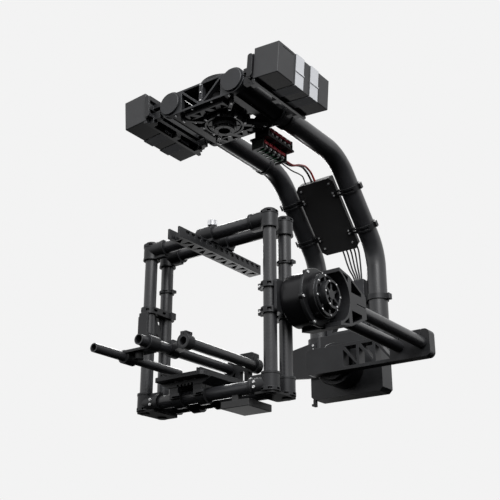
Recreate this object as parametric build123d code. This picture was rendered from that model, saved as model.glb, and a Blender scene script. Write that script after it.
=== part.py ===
from build123d import *
import math
import os

# A large three-axis camera stabilizer that hangs from its top mount.
# Millimetres, +Z up, camera looks along -Y, +X to the camera's right as seen from behind it.
# Origin: centre of the top mount's upper face, on the pan axis.
# Pan turns about Z, roll about Y and tilt about X; roll and tilt cross at GIMBAL_Z.

# ---- driving dimensions -------------------------------------------------
GIMBAL_Z = -627.0          # height where the three axes meet

# top mount and pan drive
MOUNT_R = 64.0
MOUNT_T = 14.0
MOUNT_BORE_R = 15.0
MOUNT_PCD = 100.0
MOUNT_HOLE_R = 3.3
SHAFT_R = 22.0
RUN_CLEAR = 0.05           # radial running clearance of shafts
PAN_CAN_GAP = 4.0          # between the pan motor and the arms
PLATE_T = 5.5              # upper and lower hub plates
CHORD_DROP = 6.0           # the bulkheads are this much lower between their sockets
HUB_ARM_GAP = 1.3          # between the upper hub plate and the arms
HUB_RING_R = 50.0
HUB_BOSS_R = 31.0
HUB_RIB_ANGLES = (43.0, 137.0, 223.0, 317.0)
HUB_RIB_REACH = 110.0
HUB_RIB_W = 10.0
HUB_RIB_H = 10.0
LEDGE_HALF = 60.0
LEDGE_W = 24.0
LEDGE_T = 8.0
LEDGE_BAYS = 5

# carbon arms
ARM_OD = 56.0
ARM_WALL = 3.0
ARM_HALF_SPAN = 98.0
ARM_TOP_Z = -66.0
ARM_FRONT_Y = -98.0
ARM_BEND_Y = 388.0         # where the top run would meet the sloping run
ARM_REAR_Y = 590.0         # upright run
ARM_LOW_BEND_Z = -290.0
ARM_END_Z = -560.0
ARM_BEND_R = 135.0

# bulkheads
BULKHEAD_T = 14.0
BULKHEAD_RIM = 6.0
TRUSS_RIB = 5.0

# batteries
BATTERY_W = 71.6
BATTERY_L = 222.0
BATTERY_H = 82.5
BATTERY_X = 206.6
BATTERY_Z = -56.0
BATTERY_DROOP = 4.4        # degrees, outer side down
RECESS_D = 1.5             # shallow recesses in the outer face, beside the straps
RECESS_FROM = (-48.0, -3.0, 61.0)
RECESS_TO = (-39.0, 25.0, 66.0)
TRAY_T = 14.0
TRAY_H = 62.0
TRAY_END_T = 5.0
STRAP_T = 1.2
STRAP_W = 34.0
STRAP_Y = (-21.0, 43.0)

# electronics
BOX_W = 107.0
BOX_L = 217.0
BOX_T = 27.0
BOX_FRONT = 8.0            # front face ahead of the arms' axes
BOX_SHIFT = 12.0           # box centre below the slope's middle, along the slope
COVER_T = 3.0
COVER_SIDE = 8.0           # wider than the box by this on each side
COVER_LONGER = 6.0
COVER_DOWN = 2.5           # further down the slope than the box
COVER_CHAMFER = 12.0
BOX_CLAMP_STEP = 60.0
BAND_W = 17.0
BAND_SLOT = 6.0
MODULE_W = 36.0
MODULE_L = 110.0
MODULE_H = 25.0
UPPER_MODULE_X = 48.0
LOWER_MODULE_X = 29.0
SHELF_Z = -115.0
SHELF_T = 5.0
LEAD_R = 1.9
MOTOR_LEAD_R = 2.4
MOTOR_LEAD_X = -5.0
MOTOR_LEAD_STEP = 12.5
POWER_LEAD_R = 3.0

# motors of the roll and tilt axes
MOTOR_R = 60.0
MOTOR_FLANGE_R = 69.0
MOTOR_GAP = 1.0
ROLL_CAN_L = 61.0
HOUSING_TOP_Z = -525.0
HOUSING_LOW_Z = -705.0
UPRIGHT_H = 150.0
UPRIGHT_PAD_X = 24.0
COLLAR_W = 12.0
COLLAR_SIDE = (1, -1)
COLLAR_Y = (124.0, 308.0)
SOCKET_WALL = 6.0
HOUSING_WALL = 6.0
ACCESSORY_T = 9.0

# roll beam and its twin tubes
BEAM_Y = 455.0
BEAM_T = 30.0
BEAM_H = 72.0
BEAM_WALL = 8.0
TWIN_OD = 30.0
TWIN_WALL = 2.0
TWIN_X = (222.0, 286.0)
TWIN_FRONT_Y = 72.0

# tilt motor
TILT_CAN_L = 52.0
TILT_FLANGE_T = 9.0
TILT_BACK_L = 18.0
TILT_CAP_T = 6.0
CAP_R = 47.0
CAP_RING_R = 32.0
CAP_RING_OUT = 13.0        # the inner ring stands this far beyond the cap
TILT_SHAFT_R = 12.0

# camera cage
TUBE_OD = 30.0
TUBE_WALL = 2.0
POST_X = 176.4
CAGE_Y = -28.0
POST_DY = 30.0
TOP_BAR_Z = -435.6
LOW_BAR_Z = -818.6
POST_OVER = 17.0           # posts run above the top crossbars' axes by this
POST_UNDER = 14.4          # and below the lower ones' by this
CORNER_H = 15.4
CORNER_REACH = 26.0
WINDOW_W = 10.0
FOOT_T = 5.0
BRACKET_TOP_Z = -584.0
BRACKET_LOW_Z = -676.0
BRACKET_BAR_H = 16.0
SLIM_RING_DZ = 99.0
CLAMP_WALL = 5.6           # of the clamps round the tubes
CLAMP_W = 14.0
TILT_CLAMP_DZ = 29.5

# camera rail, plate and rods
RAIL_W = 34.0
RAIL_H = 24.0
RAIL_FRONT_Y = -182.0
RAIL_REAR_Y = 132.0
PLATE_W = 139.0
BASE_X = -34.5             # centre of the camera plate and its base
CAMERA_PLATE_T = 9.0
CAMERA_PLATE_FRONT_Y = -115.0
CAMERA_PLATE_REAR_Y = 106.0
CAMERA_RAIL_H = 9.0
BASE_W = 150.0
BASE_T = 12.0
SLIDE_CLEAR = 0.3
ROD_R = 12.0
ROD_LEFT_X = -45.0
ROD_RIGHT_X = 24.0
ROD_Z = -723.0
ROD_LEFT_Y = (-233.0, 108.0)
ROD_RIGHT_Y = (-168.0, 108.0)
HANGER_Y = 90.0
HANGER_T = 16.0
FRONT_CLAMP_LEFT_Y = -130.0
FRONT_CLAMP_RIGHT_Y = -168.0
FRONT_CLAMP_T = 22.0
REAR_BLOCK_X = (-31.0, 9.0)
REAR_BLOCK_GAP = 4.0
REAR_BLOCK_T = 25.0
LOW_ROD_R = 10.0
LOW_ROD_X = -109.0
LOW_ROD_Z = -746.5
LOW_ROD_Y = (-301.0, -20.0)
LOW_ROD_FREE = 70.0        # free front stretch
BRIDGE_Y = -214.0
BRIDGE_W = 40.0
BRIDGE_T = 6.0
BRIDGE_TOP_Z = -734.0
LEVER_X = -84.0
LEVER_Y = -178.0
RECEIVER_X = (50.0, 125.0)
RECEIVER_Y = (-67.0, 20.0)
RECEIVER_Z = -842.0
RECEIVER_T = 16.0

SCREW_R = 3.2
SCREW_H = 2.4

# ---- derived places -----------------------------------------------------
ARM_R = ARM_OD / 2
TUBE_R = TUBE_OD / 2
CLAMP_R = TUBE_R + CLAMP_WALL
TWIN_R = TWIN_OD / 2
ARM_SOCKET_R = ARM_R + BULKHEAD_RIM
BULKHEAD_TOP_Z = ARM_TOP_Z + ARM_SOCKET_R
BULKHEAD_LOW_Z = ARM_TOP_Z - ARM_SOCKET_R
HUB_TOP_Z = BULKHEAD_TOP_Z - CHORD_DROP
HUB_LOW_Z = BULKHEAD_LOW_Z
HUB_HALF_L = -ARM_FRONT_Y - BULKHEAD_T
HUB_CUT_H = HUB_TOP_Z - PLATE_T - ARM_TOP_Z
HUB_TOP_HALF_W = ARM_HALF_SPAN - math.sqrt(ARM_R**2 - HUB_CUT_H**2) - HUB_ARM_GAP
PAN_CAN_R = ARM_HALF_SPAN - ARM_R - PAN_CAN_GAP
RING_LOW_Z = HUB_LOW_Z - 16.0
BOSS_LOW_Z = RING_LOW_Z - 9.0
REAR_BULKHEAD_Y = -ARM_FRONT_Y - BULKHEAD_T
SLOPE = math.atan2(ARM_TOP_Z - ARM_LOW_BEND_Z, ARM_REAR_Y - ARM_BEND_Y)
LINK_T = 4.0
MODULE_Y = REAR_BULKHEAD_Y + BULKHEAD_T + 5
MODULE_REAR_Y = MODULE_Y + MODULE_L
LINK_X0 = BOX_W / 2 - 8.0
LINK_X1 = ARM_HALF_SPAN - ARM_R + 4.0
POST_Y = (CAGE_Y - POST_DY, CAGE_Y + POST_DY)
POST_LOW_Z = LOW_BAR_Z - POST_UNDER
FOOT_TOP_Z = LOW_BAR_Z - CORNER_H
POST_TOP_Z = TOP_BAR_Z + POST_OVER
PLATE_X0 = POST_X + CLAMP_R
PLATE_X1 = PLATE_X0 + 6.0
CAN_X0 = PLATE_X1 + MOTOR_GAP
CAN_X1 = CAN_X0 + TILT_CAN_L
FLANGE_X1 = CAN_X1 + TILT_FLANGE_T
BACK_X1 = FLANGE_X1 + TILT_BACK_L
CAP_X1 = BACK_X1 + TILT_CAP_T
RING_X1 = CAP_X1 + CAP_RING_OUT
BAR_INNER_X = POST_X - CLAMP_R - 2.0
BASE_TOP_Z = LOW_BAR_Z + CLAMP_R + BASE_T
CAMERA_PLATE_Z0 = BASE_TOP_Z + SLIDE_CLEAR
CAMERA_PLATE_Z1 = CAMERA_PLATE_Z0 + CAMERA_PLATE_T
CAMERA_RAIL_X = (BASE_X - PLATE_W / 2 + 10, BASE_X + PLATE_W / 2 - 22)
HOUSING_T = ARM_OD
ROLL_BACK_Y = ARM_REAR_Y - HOUSING_T / 2
ROLL_CAN_FRONT_Y = ROLL_BACK_Y - ROLL_CAN_L


# ---- small helpers --------------------------------------------------------
def block(x0, x1, y0, y1, z0, z1):
    """A box between two corners."""
    centre = Pos((x0 + x1) / 2, (y0 + y1) / 2, (z0 + z1) / 2)
    return centre * Box(abs(x1 - x0), abs(y1 - y0), abs(z1 - z0))


def rod_z(r, x, y, z0, z1):
    """A cylinder along Z."""
    return Pos(x, y, (z0 + z1) / 2) * Cylinder(r, abs(z1 - z0))


def rod_y(r, x, z, y0, y1):
    """A cylinder along Y."""
    return Pos(x, (y0 + y1) / 2, z) * Rot(90, 0, 0) * Cylinder(r, abs(y1 - y0))


def rod_x(r, y, z, x0, x1):
    """A cylinder along X."""
    return Pos((x0 + x1) / 2, y, z) * Rot(0, 90, 0) * Cylinder(r, abs(x1 - x0))


def prism_y(points, y0, y1):
    """A polygon in XZ, run from y0 to y1."""
    outline = Polyline(*[(x, y0, z) for x, z in points], close=True)
    return extrude(make_face(outline), amount=y1 - y0, dir=(0, 1, 0))


def prism_x(points, x0, x1):
    """A polygon in YZ, run from x0 to x1."""
    outline = Polyline(*[(x0, y, z) for y, z in points], close=True)
    return extrude(make_face(outline), amount=x1 - x0, dir=(1, 0, 0))


def prism_z(points, z0, z1):
    """A polygon in XY, run from z0 to z1."""
    outline = Polyline(*[(x, y, z0) for x, y in points], close=True)
    return extrude(make_face(outline), amount=z1 - z0, dir=(0, 0, 1))


def strut_y(a, b, width, y0, y1):
    """A straight rib between two XZ points."""
    dx = b[0] - a[0]
    dz = b[1] - a[1]
    length = math.hypot(dx, dz)
    nx = -dz / length * width / 2
    nz = dx / length * width / 2
    corners = [(a[0] + nx, a[1] + nz), (b[0] + nx, b[1] + nz), (b[0] - nx, b[1] - nz), (a[0] - nx, a[1] - nz)]
    return prism_y(corners, y0, y1)


def ring(count, radius, start=0.0):
    """Points spaced round a circle."""
    step = 360.0 / count
    return [(radius * math.cos(math.radians(start + step * k)),
             radius * math.sin(math.radians(start + step * k))) for k in range(count)]


def group(*solids):
    """Several separate solids kept together."""
    return Compound(children=list(solids))


def path_radii(points):
    """The largest smooth radius at each corner of a lead's route."""
    radii = []
    for before, here, after in zip(points, points[1:], points[2:]):
        a = Vector(*here) - Vector(*before)
        b = Vector(*after) - Vector(*here)
        turn = math.radians(a.get_angle(b))
        radii.append(0.45 * min(a.length, b.length) / math.tan(turn / 2))
    return radii


def lead(name, radius, points):
    """A lead along straight runs and tangent arcs."""
    radii = path_radii(points)
    path = FilletPolyline(*points, radius=radii)
    section = Plane(path @ 0, z_dir=path % 0) * Circle(radius)
    tube = sweep(section, path=path)
    area = math.pi * radius ** 2
    print(name, "length", round(path.length, 1), "radii", [round(r, 1) for r in radii],
          "volume ratio", round(tube.volume / (area * path.length), 4))
    return tube


def save(name, shape):
    """Write one node."""
    shape.label = name
    export_step(shape, f"parts/{name}.step")


def ring_windows(x, y, z, radius, height):
    """Cutters for the oblong windows round a clamp ring."""
    cutter = block(TUBE_R - 1, radius + 1, -WINDOW_W / 2, WINDOW_W / 2, z - height / 2, z + height / 2)
    return [Pos(x, y, 0) * Rot(0, 0, 60 * k) * cutter for k in range(6)]


def post_clamp(x, y, z, slot_side, width, radius):
    """A split ring round a post with side windows and a bolted ear."""
    body = rod_z(radius, x, y, z - width / 2, z + width / 2)
    for window in ring_windows(x, y, z, radius, width / 2):
        body -= window
    ear = block(x, x + slot_side * (radius + 7), y - 7, y + 7, z - width / 2, z + width / 2)
    slot = block(x, x + slot_side * (radius + 8), y - 1, y + 1, z - width, z + width)
    bolt_hole = rod_y(2.1, x + slot_side * (radius + 2.5), z, y - 8, y + 8)
    bore = rod_z(TUBE_R, x, y, z - width, z + width)
    return body + ear - slot - bolt_hole - bore


# ---- top mount and pan drive -------------------------------------------------
def top_mount_plate():
    plate = rod_z(MOUNT_R, 0, 0, -MOUNT_T, 0)
    plate = chamfer(plate.edges().filter_by(GeomType.CIRCLE), 1.5)
    for x, y in ring(4, MOUNT_PCD / 2, 45):
        plate -= rod_z(MOUNT_HOLE_R, x, y, -MOUNT_T - 1, 1)
    return plate - rod_z(MOUNT_BORE_R, 0, 0, -MOUNT_T - 1, 1)


def pan_shaft():
    """The fixed hollow spindle that the whole stabilizer turns on."""
    collar = rod_z(SHAFT_R + 6, 0, 0, HUB_TOP_Z + MOTOR_GAP, -MOUNT_T)
    spindle = rod_z(SHAFT_R, 0, 0, BOSS_LOW_Z - 1, HUB_TOP_Z + MOTOR_GAP + 1)
    nut = rod_z(SHAFT_R + 4, 0, 0, BOSS_LOW_Z - 5, BOSS_LOW_Z - 0.5)
    shaft = collar + spindle + nut
    for x, y in ring(6, SHAFT_R - 3):
        shaft -= rod_z(1.6, x, y, BOSS_LOW_Z - 6, BOSS_LOW_Z)
    return shaft - rod_z(MOUNT_BORE_R, 0, 0, BOSS_LOW_Z - 6, -MOUNT_T + 1)


def pan_motor_can():
    low = HUB_LOW_Z + PLATE_T
    top = HUB_TOP_Z - PLATE_T
    can = rod_z(PAN_CAN_R, 0, 0, low, top)
    for z in (low + 8, top - 12):
        can -= rod_z(PAN_CAN_R + 1, 0, 0, z, z + 4) - rod_z(PAN_CAN_R - 1.5, 0, 0, z - 1, z + 5)
    return can - rod_z(SHAFT_R + RUN_CLEAR, 0, 0, low - 1, top + 1)


def hub_top_plate():
    """A closed plate between the bulkheads, level with their top chords."""
    plate = block(-HUB_TOP_HALF_W, HUB_TOP_HALF_W, -HUB_HALF_L, HUB_HALF_L, HUB_TOP_Z - PLATE_T, HUB_TOP_Z)
    return plate - rod_z(SHAFT_R + RUN_CLEAR, 0, 0, HUB_TOP_Z - PLATE_T - 1, HUB_TOP_Z + 1)


def lattice_ledge(side):
    """A zigzag of ribs under the lower plate, along one bulkhead."""
    near = side * HUB_HALF_L
    far = side * (HUB_HALF_L - LEDGE_W)
    ledge = block(-LEDGE_HALF, LEDGE_HALF, near, far, HUB_LOW_Z - LEDGE_T, HUB_LOW_Z)
    bay = 2 * LEDGE_HALF / LEDGE_BAYS
    for k in range(LEDGE_BAYS):
        x = -LEDGE_HALF + bay * k
        base = near - side * 4 if k % 2 else far + side * 4
        tip = far + side * 4 if k % 2 else near - side * 4
        ledge -= prism_z([(x + 3, base), (x + bay - 3, base), (x + bay / 2, tip)], HUB_LOW_Z - LEDGE_T - 1, HUB_LOW_Z)
    return ledge


def hub_lower_plate():
    """The lower plate with its turntable ring, boss, corner ribs and two lattice ledges."""
    half = ARM_HALF_SPAN - 2
    plate = block(-half, half, -HUB_HALF_L, HUB_HALF_L, HUB_LOW_Z, HUB_LOW_Z + PLATE_T)
    for sy in (-1, 1):
        for sx in (-1, 1):
            pocket = [(sx * 60, sy * 8), (sx * 76, sy * 8), (sx * 76, sy * 58), (sx * 54, sy * 36)]
            plate -= prism_z(pocket, HUB_LOW_Z - 1, HUB_LOW_Z + PLATE_T + 1)
    turntable = rod_z(HUB_RING_R, 0, 0, RING_LOW_Z, HUB_LOW_Z)
    groove = rod_z(HUB_RING_R - 5, 0, 0, RING_LOW_Z - 1, RING_LOW_Z + 4)
    turntable -= groove - rod_z(HUB_RING_R - 9, 0, 0, RING_LOW_Z - 2, RING_LOW_Z + 5)
    for x, y in ring(6, HUB_BOSS_R + 5, 30):
        turntable -= rod_z(4, x, y, RING_LOW_Z - 1, RING_LOW_Z + 5)
    plate = plate + turntable + rod_z(HUB_BOSS_R, 0, 0, BOSS_LOW_Z, RING_LOW_Z)
    for angle in HUB_RIB_ANGLES:
        rib = block(HUB_RING_R - 4, HUB_RIB_REACH, -HUB_RIB_W / 2, HUB_RIB_W / 2, HUB_LOW_Z - HUB_RIB_H, HUB_LOW_Z)
        plate += Rot(0, 0, angle) * rib
    for k in range(8):
        lug = Rot(0, 0, 22.5 + 45 * k) * block(HUB_RING_R - 4, HUB_RING_R + 8, -5, 5, RING_LOW_Z + 2, HUB_LOW_Z)
        plate += lug
    plate = plate + lattice_ledge(-1) + lattice_ledge(1)
    return plate - rod_z(SHAFT_R + RUN_CLEAR, 0, 0, BOSS_LOW_Z - 1, HUB_LOW_Z + PLATE_T + 1)


def bulkhead(y0, y1):
    """A belt-shaped truss that clamps both arms, lower between its sockets."""
    shell = block(-ARM_HALF_SPAN, ARM_HALF_SPAN, y0, y1, BULKHEAD_LOW_Z, HUB_TOP_Z)
    for sx in (-1, 1):
        shell += rod_y(ARM_SOCKET_R, sx * ARM_HALF_SPAN, ARM_TOP_Z, y0, y1)
    half_w = ARM_HALF_SPAN - ARM_SOCKET_R - 2
    low = BULKHEAD_LOW_Z + TRUSS_RIB
    top = HUB_TOP_Z - TRUSS_RIB
    window = block(-half_w, half_w, y0 - 1, y1 + 1, low, top)
    ribs = block(-TRUSS_RIB, TRUSS_RIB, y0, y1, low - 1, top + 1)
    for sx in (-1, 1):
        ribs += strut_y((sx * TRUSS_RIB, low), (sx * half_w, top), TRUSS_RIB, y0, y1)
    shell = shell - window + ribs.intersect(block(-half_w - 1, half_w + 1, y0, y1, BULKHEAD_LOW_Z, HUB_TOP_Z))
    for sx in (-1, 1):
        shell -= rod_y(ARM_R, sx * ARM_HALF_SPAN, ARM_TOP_Z, y0 - 1, y1 + 1)
        slot_x = sx * (ARM_HALF_SPAN + ARM_R)
        shell -= block(slot_x - 3, slot_x + sx * 9, y0 - 1, y1 + 1, ARM_TOP_Z - 1, ARM_TOP_Z + 1)
    return shell


# ---- arms ---------------------------------------------------------------------
def arm(side):
    x = side * ARM_HALF_SPAN
    route = [(x, ARM_FRONT_Y, ARM_TOP_Z), (x, ARM_BEND_Y, ARM_TOP_Z),
             (x, ARM_REAR_Y, ARM_LOW_BEND_Z), (x, ARM_REAR_Y, ARM_END_Z)]
    path = FilletPolyline(*route, radius=ARM_BEND_R)
    section = Plane(origin=route[0], z_dir=(0, 1, 0)) * (Circle(ARM_R) - Circle(ARM_R - ARM_WALL))
    return sweep(section, path=path)


def arm_end_caps():
    caps = []
    for sx in (-1, 1):
        x = sx * ARM_HALF_SPAN
        disc = rod_y(ARM_R + 2, x, ARM_TOP_Z, ARM_FRONT_Y - 6, ARM_FRONT_Y)
        disc = chamfer(disc.edges().filter_by(GeomType.CIRCLE), 1.0)
        caps.append(disc + rod_y(ARM_R - ARM_WALL, x, ARM_TOP_Z, ARM_FRONT_Y - 1, ARM_FRONT_Y + 12))
    return group(*caps)


# ---- batteries -----------------------------------------------------------------
def battery_frame(side):
    """Places a shape, drawn about the battery's centre with +X outward, on one side."""
    return Pos(side * BATTERY_X, 0, BATTERY_Z) * Rot(0, side * BATTERY_DROOP, 0)


def battery(side):
    body = Box(BATTERY_W, BATTERY_L, BATTERY_H)
    body = fillet(body.edges(), 2.0)
    face = side * BATTERY_W / 2
    for y0, y1 in zip(RECESS_FROM, RECESS_TO):
        body -= block(face - side * RECESS_D, face + side, y0, y1, -BATTERY_H, BATTERY_H)
    body -= block(face - side, face + side, -BATTERY_L / 2 + 16, RECESS_FROM[0], BATTERY_H / 2 - 9, BATTERY_H / 2 - 7)
    return battery_frame(side) * body


def battery_straps():
    """Two webbing straps round each battery."""
    bands = []
    for side, y in ((-1, STRAP_Y[0]), (-1, STRAP_Y[1]), (1, STRAP_Y[0]), (1, STRAP_Y[1])):
        outer = Pos(0, y, 0) * Box(BATTERY_W + 2 * STRAP_T, STRAP_W, BATTERY_H + 2 * STRAP_T)
        inner = Pos(0, y, 0) * Box(BATTERY_W, STRAP_W + 2, BATTERY_H)
        buckle = Pos(side * (BATTERY_W / 2 + STRAP_T + 0.8), y, -4) * Box(1.6, STRAP_W + 2, 3)
        bands.append(battery_frame(side) * (outer - inner + buckle))
    return group(*bands)


def tray(side):
    """A railed side beam, a low rail under the battery, and legs to both bulkheads."""
    inner = -side * (BATTERY_W / 2 + STRAP_T + 0.2)
    far = inner - side * TRAY_T
    half = BATTERY_L / 2
    low = -TRAY_H / 2 - 4
    beam = block(inner, far, -half, half, low, low + TRAY_H)
    for z in (low + 15, low + 43):
        beam -= block(far - side, far + side * 7, -half - 1, half + 1, z - 6, z + 6)
    end = block(inner, far, -half - TRAY_END_T, -half, low, low + TRAY_H)
    end = fillet(end.edges().filter_by(Axis.Y), 6.0)
    rail_top = -BATTERY_H / 2 - STRAP_T - 0.2
    rail = block(inner, inner + side * 8, -half, half, rail_top - 6, rail_top)
    shape = beam + end + rail
    for y in (-half + 20, 0, half - 20):
        shape += block(inner + side, far, y - 8, y + 8, rail_top - 6, rail_top)
        shape += block(inner, far, y - 8, y + 8, rail_top - 1, low + 1)
    shape = battery_frame(side) * shape
    tip = ARM_HALF_SPAN + ARM_SOCKET_R
    reach = BATTERY_X - BATTERY_W / 2 - STRAP_T - TRAY_T / 2
    for y0 in (ARM_FRONT_Y, REAR_BULKHEAD_Y):
        leg = block(side * tip, side * reach, y0, y0 + BULKHEAD_T, ARM_TOP_Z - 26, ARM_TOP_Z - 6)
        leg += block(side * tip, side * reach, y0, y0 + BULKHEAD_T, ARM_TOP_Z + 6, ARM_TOP_Z + 18)
        shape += leg - rod_y(ARM_SOCKET_R, side * ARM_HALF_SPAN, ARM_TOP_Z, y0 - 1, y0 + BULKHEAD_T + 1)
    return shape


def hub_screws():
    heads = []
    for x, y in ring(8, HUB_RING_R + SCREW_R + 0.5, 22.5):
        heads.append(rod_z(SCREW_R, x, y, RING_LOW_Z + 2 - SCREW_H, RING_LOW_Z + 2))
    for x, y in ring(6, HUB_BOSS_R - 4, 30):
        heads.append(rod_z(1.8, x, y, BOSS_LOW_Z - 0.4, BOSS_LOW_Z))
    for angle in HUB_RIB_ANGLES:
        for reach in (HUB_RING_R + 24, HUB_RIB_REACH - 7):
            x = reach * math.cos(math.radians(angle))
            y = reach * math.sin(math.radians(angle))
            heads.append(rod_z(SCREW_R, x, y, HUB_LOW_Z - HUB_RIB_H - SCREW_H, HUB_LOW_Z - HUB_RIB_H))
    for sx in (-1, 1):
        for y in (ARM_FRONT_Y + BULKHEAD_T / 2, REAR_BULKHEAD_Y + BULKHEAD_T / 2):
            for x in (ARM_HALF_SPAN - 14, 30):
                heads.append(rod_z(SCREW_R, sx * x, y, BULKHEAD_LOW_Z - SCREW_H, BULKHEAD_LOW_Z))
    for z in (BULKHEAD_LOW_Z + 12, ARM_TOP_Z, HUB_TOP_Z - 6):
        heads.append(rod_y(SCREW_R - 0.8, 0, z, ARM_FRONT_Y - SCREW_H, ARM_FRONT_Y))
    return group(*heads)


# ---- electronics ------------------------------------------------------------------
def module_bracket():
    """A shelf behind the rear bulkhead with one power module above it and one below."""
    y0 = REAR_BULKHEAD_Y + BULKHEAD_T
    x0 = LOWER_MODULE_X - MODULE_W / 2 - 2
    x1 = UPPER_MODULE_X + MODULE_W / 2 + 2
    shelf = block(x0, x1, y0, MODULE_REAR_Y + 4, SHELF_Z - SHELF_T, SHELF_Z)
    shelf += block(x0 + 16, x1, y0, y0 + 4, SHELF_Z - 1, BULKHEAD_LOW_Z + 24)
    for k in range(3):
        hole_y = MODULE_Y + 22 + 32 * k
        shelf -= block(x0 + 8, x1 - 8, hole_y - 9, hole_y + 9, SHELF_Z - SHELF_T - 1, SHELF_Z + 1)
    return shelf


def power_module(x, z, up):
    """An open-frame module: board, end plates, terminal blocks and coils."""
    half = MODULE_W / 2
    shape = block(x - half, x + half, MODULE_Y, MODULE_REAR_Y, z, z + up * 4)
    for y0 in (MODULE_Y, MODULE_REAR_Y - 4):
        shape += block(x - half, x + half, y0, y0 + 4, z, z + up * MODULE_H)
    for k in range(5):
        y0 = MODULE_Y + 8 + 20 * k
        shape += block(x - half + 1, x - 3, y0, y0 + 14, z, z + up * (MODULE_H - 5))
        shape += rod_z(7, x + half - 9, y0 + 7, z, z + up * (MODULE_H - 3))
    return shape


def slope_frame():
    """Local frame on the arms' sloping run: +Y up the slope, +Z towards the front and down."""
    mid = Vector(0, (ARM_BEND_Y + ARM_REAR_Y) / 2, (ARM_TOP_Z + ARM_LOW_BEND_Z) / 2)
    shift = Vector(0, math.cos(SLOPE), -math.sin(SLOPE)) * BOX_SHIFT
    return Plane(origin=mid + shift, x_dir=(1, 0, 0), z_dir=(0, -math.sin(SLOPE), -math.cos(SLOPE)))


def electronics_box():
    body = Box(BOX_W, BOX_L, BOX_T)
    body = fillet(body.edges().filter_by(Axis.Z), 4.0)
    for k in range(7):
        y = -72 + 24 * k
        body -= Pos(0, y, -BOX_T / 2) * Box(BOX_W - 24, 8, 6)
    return slope_frame().location * Pos(0, 0, BOX_FRONT - BOX_T / 2) * body


def electronics_cover():
    """The front plate, wider than the box and set a little down the slope."""
    plate = Box(BOX_W + 2 * COVER_SIDE, BOX_L + COVER_LONGER, COVER_T)
    plate = chamfer(plate.edges().filter_by(Axis.Z), COVER_CHAMFER)
    plate = chamfer(plate.faces().sort_by(Axis.Z)[-1].edges(), 0.8)
    return slope_frame().location * Pos(0, -COVER_DOWN, BOX_FRONT + COVER_T / 2) * plate


def box_clamps():
    """Four slotted bands that hold the electronics box to the arms."""
    clamps = []
    for sx in (-1, 1):
        for y in (-BOX_CLAMP_STEP, BOX_CLAMP_STEP):
            x = sx * ARM_HALF_SPAN
            collar = Pos(x, y, 0) * Rot(90, 0, 0) * Cylinder(ARM_R + 3.5, BAND_W)
            link_z = BOX_FRONT + COVER_T + LINK_T / 2
            link = Pos(sx * (LINK_X0 + LINK_X1) / 2, y, link_z) * Box(LINK_X1 - LINK_X0, BAND_W, LINK_T)
            stud = Pos(sx * (ARM_HALF_SPAN + ARM_R + 6), y, 0) * Box(8, BAND_W, 12)
            bore = Pos(x, y, 0) * Rot(90, 0, 0) * Cylinder(ARM_R, BAND_W + 4)
            slot = Pos(x - sx * 8, y, ARM_R) * Box(ARM_OD, BAND_SLOT, ARM_OD - 12)
            clamps.append(slope_frame().location * (collar + link - slot + stud - bore))
    return group(*clamps)


def rear_screws():
    heads = []
    for sx in (-1, 1):
        for y in (-BOX_L / 2 + 16, BOX_L / 2 - 16):
            head = Pos(sx * (BOX_W / 2 - 7), y, BOX_FRONT + COVER_T + SCREW_H / 2) * Cylinder(SCREW_R, SCREW_H)
            heads.append(slope_frame().location * head)
        for y in (-BOX_CLAMP_STEP - 4.5, -BOX_CLAMP_STEP + 4.5, BOX_CLAMP_STEP - 4.5, BOX_CLAMP_STEP + 4.5):
            head = Pos(sx * (LINK_X0 + 4), y, BOX_FRONT + COVER_T + LINK_T + 1) * Cylinder(2.8, 2.0)
            heads.append(slope_frame().location * head)
    for z in (-10, 2, 66, 78):
        y0 = ARM_REAR_Y - HOUSING_T / 2 - ACCESSORY_T
        heads.append(rod_y(SCREW_R, -ARM_HALF_SPAN, GIMBAL_Z + z, y0 - SCREW_H, y0))
    return group(*heads)


def on_box(x, along, depth):
    """A point on the electronics box: across, up the slope from its centre, and out of its front."""
    return tuple(slope_frame().location.position + slope_frame().x_dir * x
                 + slope_frame().y_dir * along + slope_frame().z_dir * depth)


def power_route(start_x, end_x, lift):
    """From the lower module's end plate, up and over to the top edge of the electronics box."""
    z = SHELF_Z - SHELF_T - MODULE_H + 6
    y = MODULE_REAR_Y - 2
    entry = on_box(end_x, BOX_L / 2 - 2, -8)
    above = on_box(end_x, BOX_L / 2 + 26, -8 + lift)
    dx = end_x - start_x
    span = above[1] - y
    rise = above[2] - z
    return [(start_x, y, z), (start_x + 0.1 * dx, y + 0.22 * span, z + 4 + lift),
            (start_x + 0.42 * dx, y + 0.52 * span, z + 0.62 * rise + lift),
            (start_x + 0.82 * dx, y + 0.8 * span, z + 1.02 * rise + lift), above, entry]


def signal_route():
    """The thin lead, lower and straighter than the power pair."""
    z = SHELF_Z - SHELF_T - 8
    y = MODULE_REAR_Y - 2
    x = LOWER_MODULE_X - MODULE_W / 2 + 4
    entry = on_box(-34, BOX_L / 2 - 2, -8)
    above = on_box(-33, BOX_L / 2 + 22, -10)
    dx = above[0] - x
    span = above[1] - y
    rise = above[2] - z
    return [(x, y, z), (x + 0.06 * dx, y + 0.2 * span, z + 1), (x + 0.4 * dx, y + 0.5 * span, z + 0.3 * rise),
            (x + 0.75 * dx, y + 0.8 * span, z + 0.76 * rise), above, entry]


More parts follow.
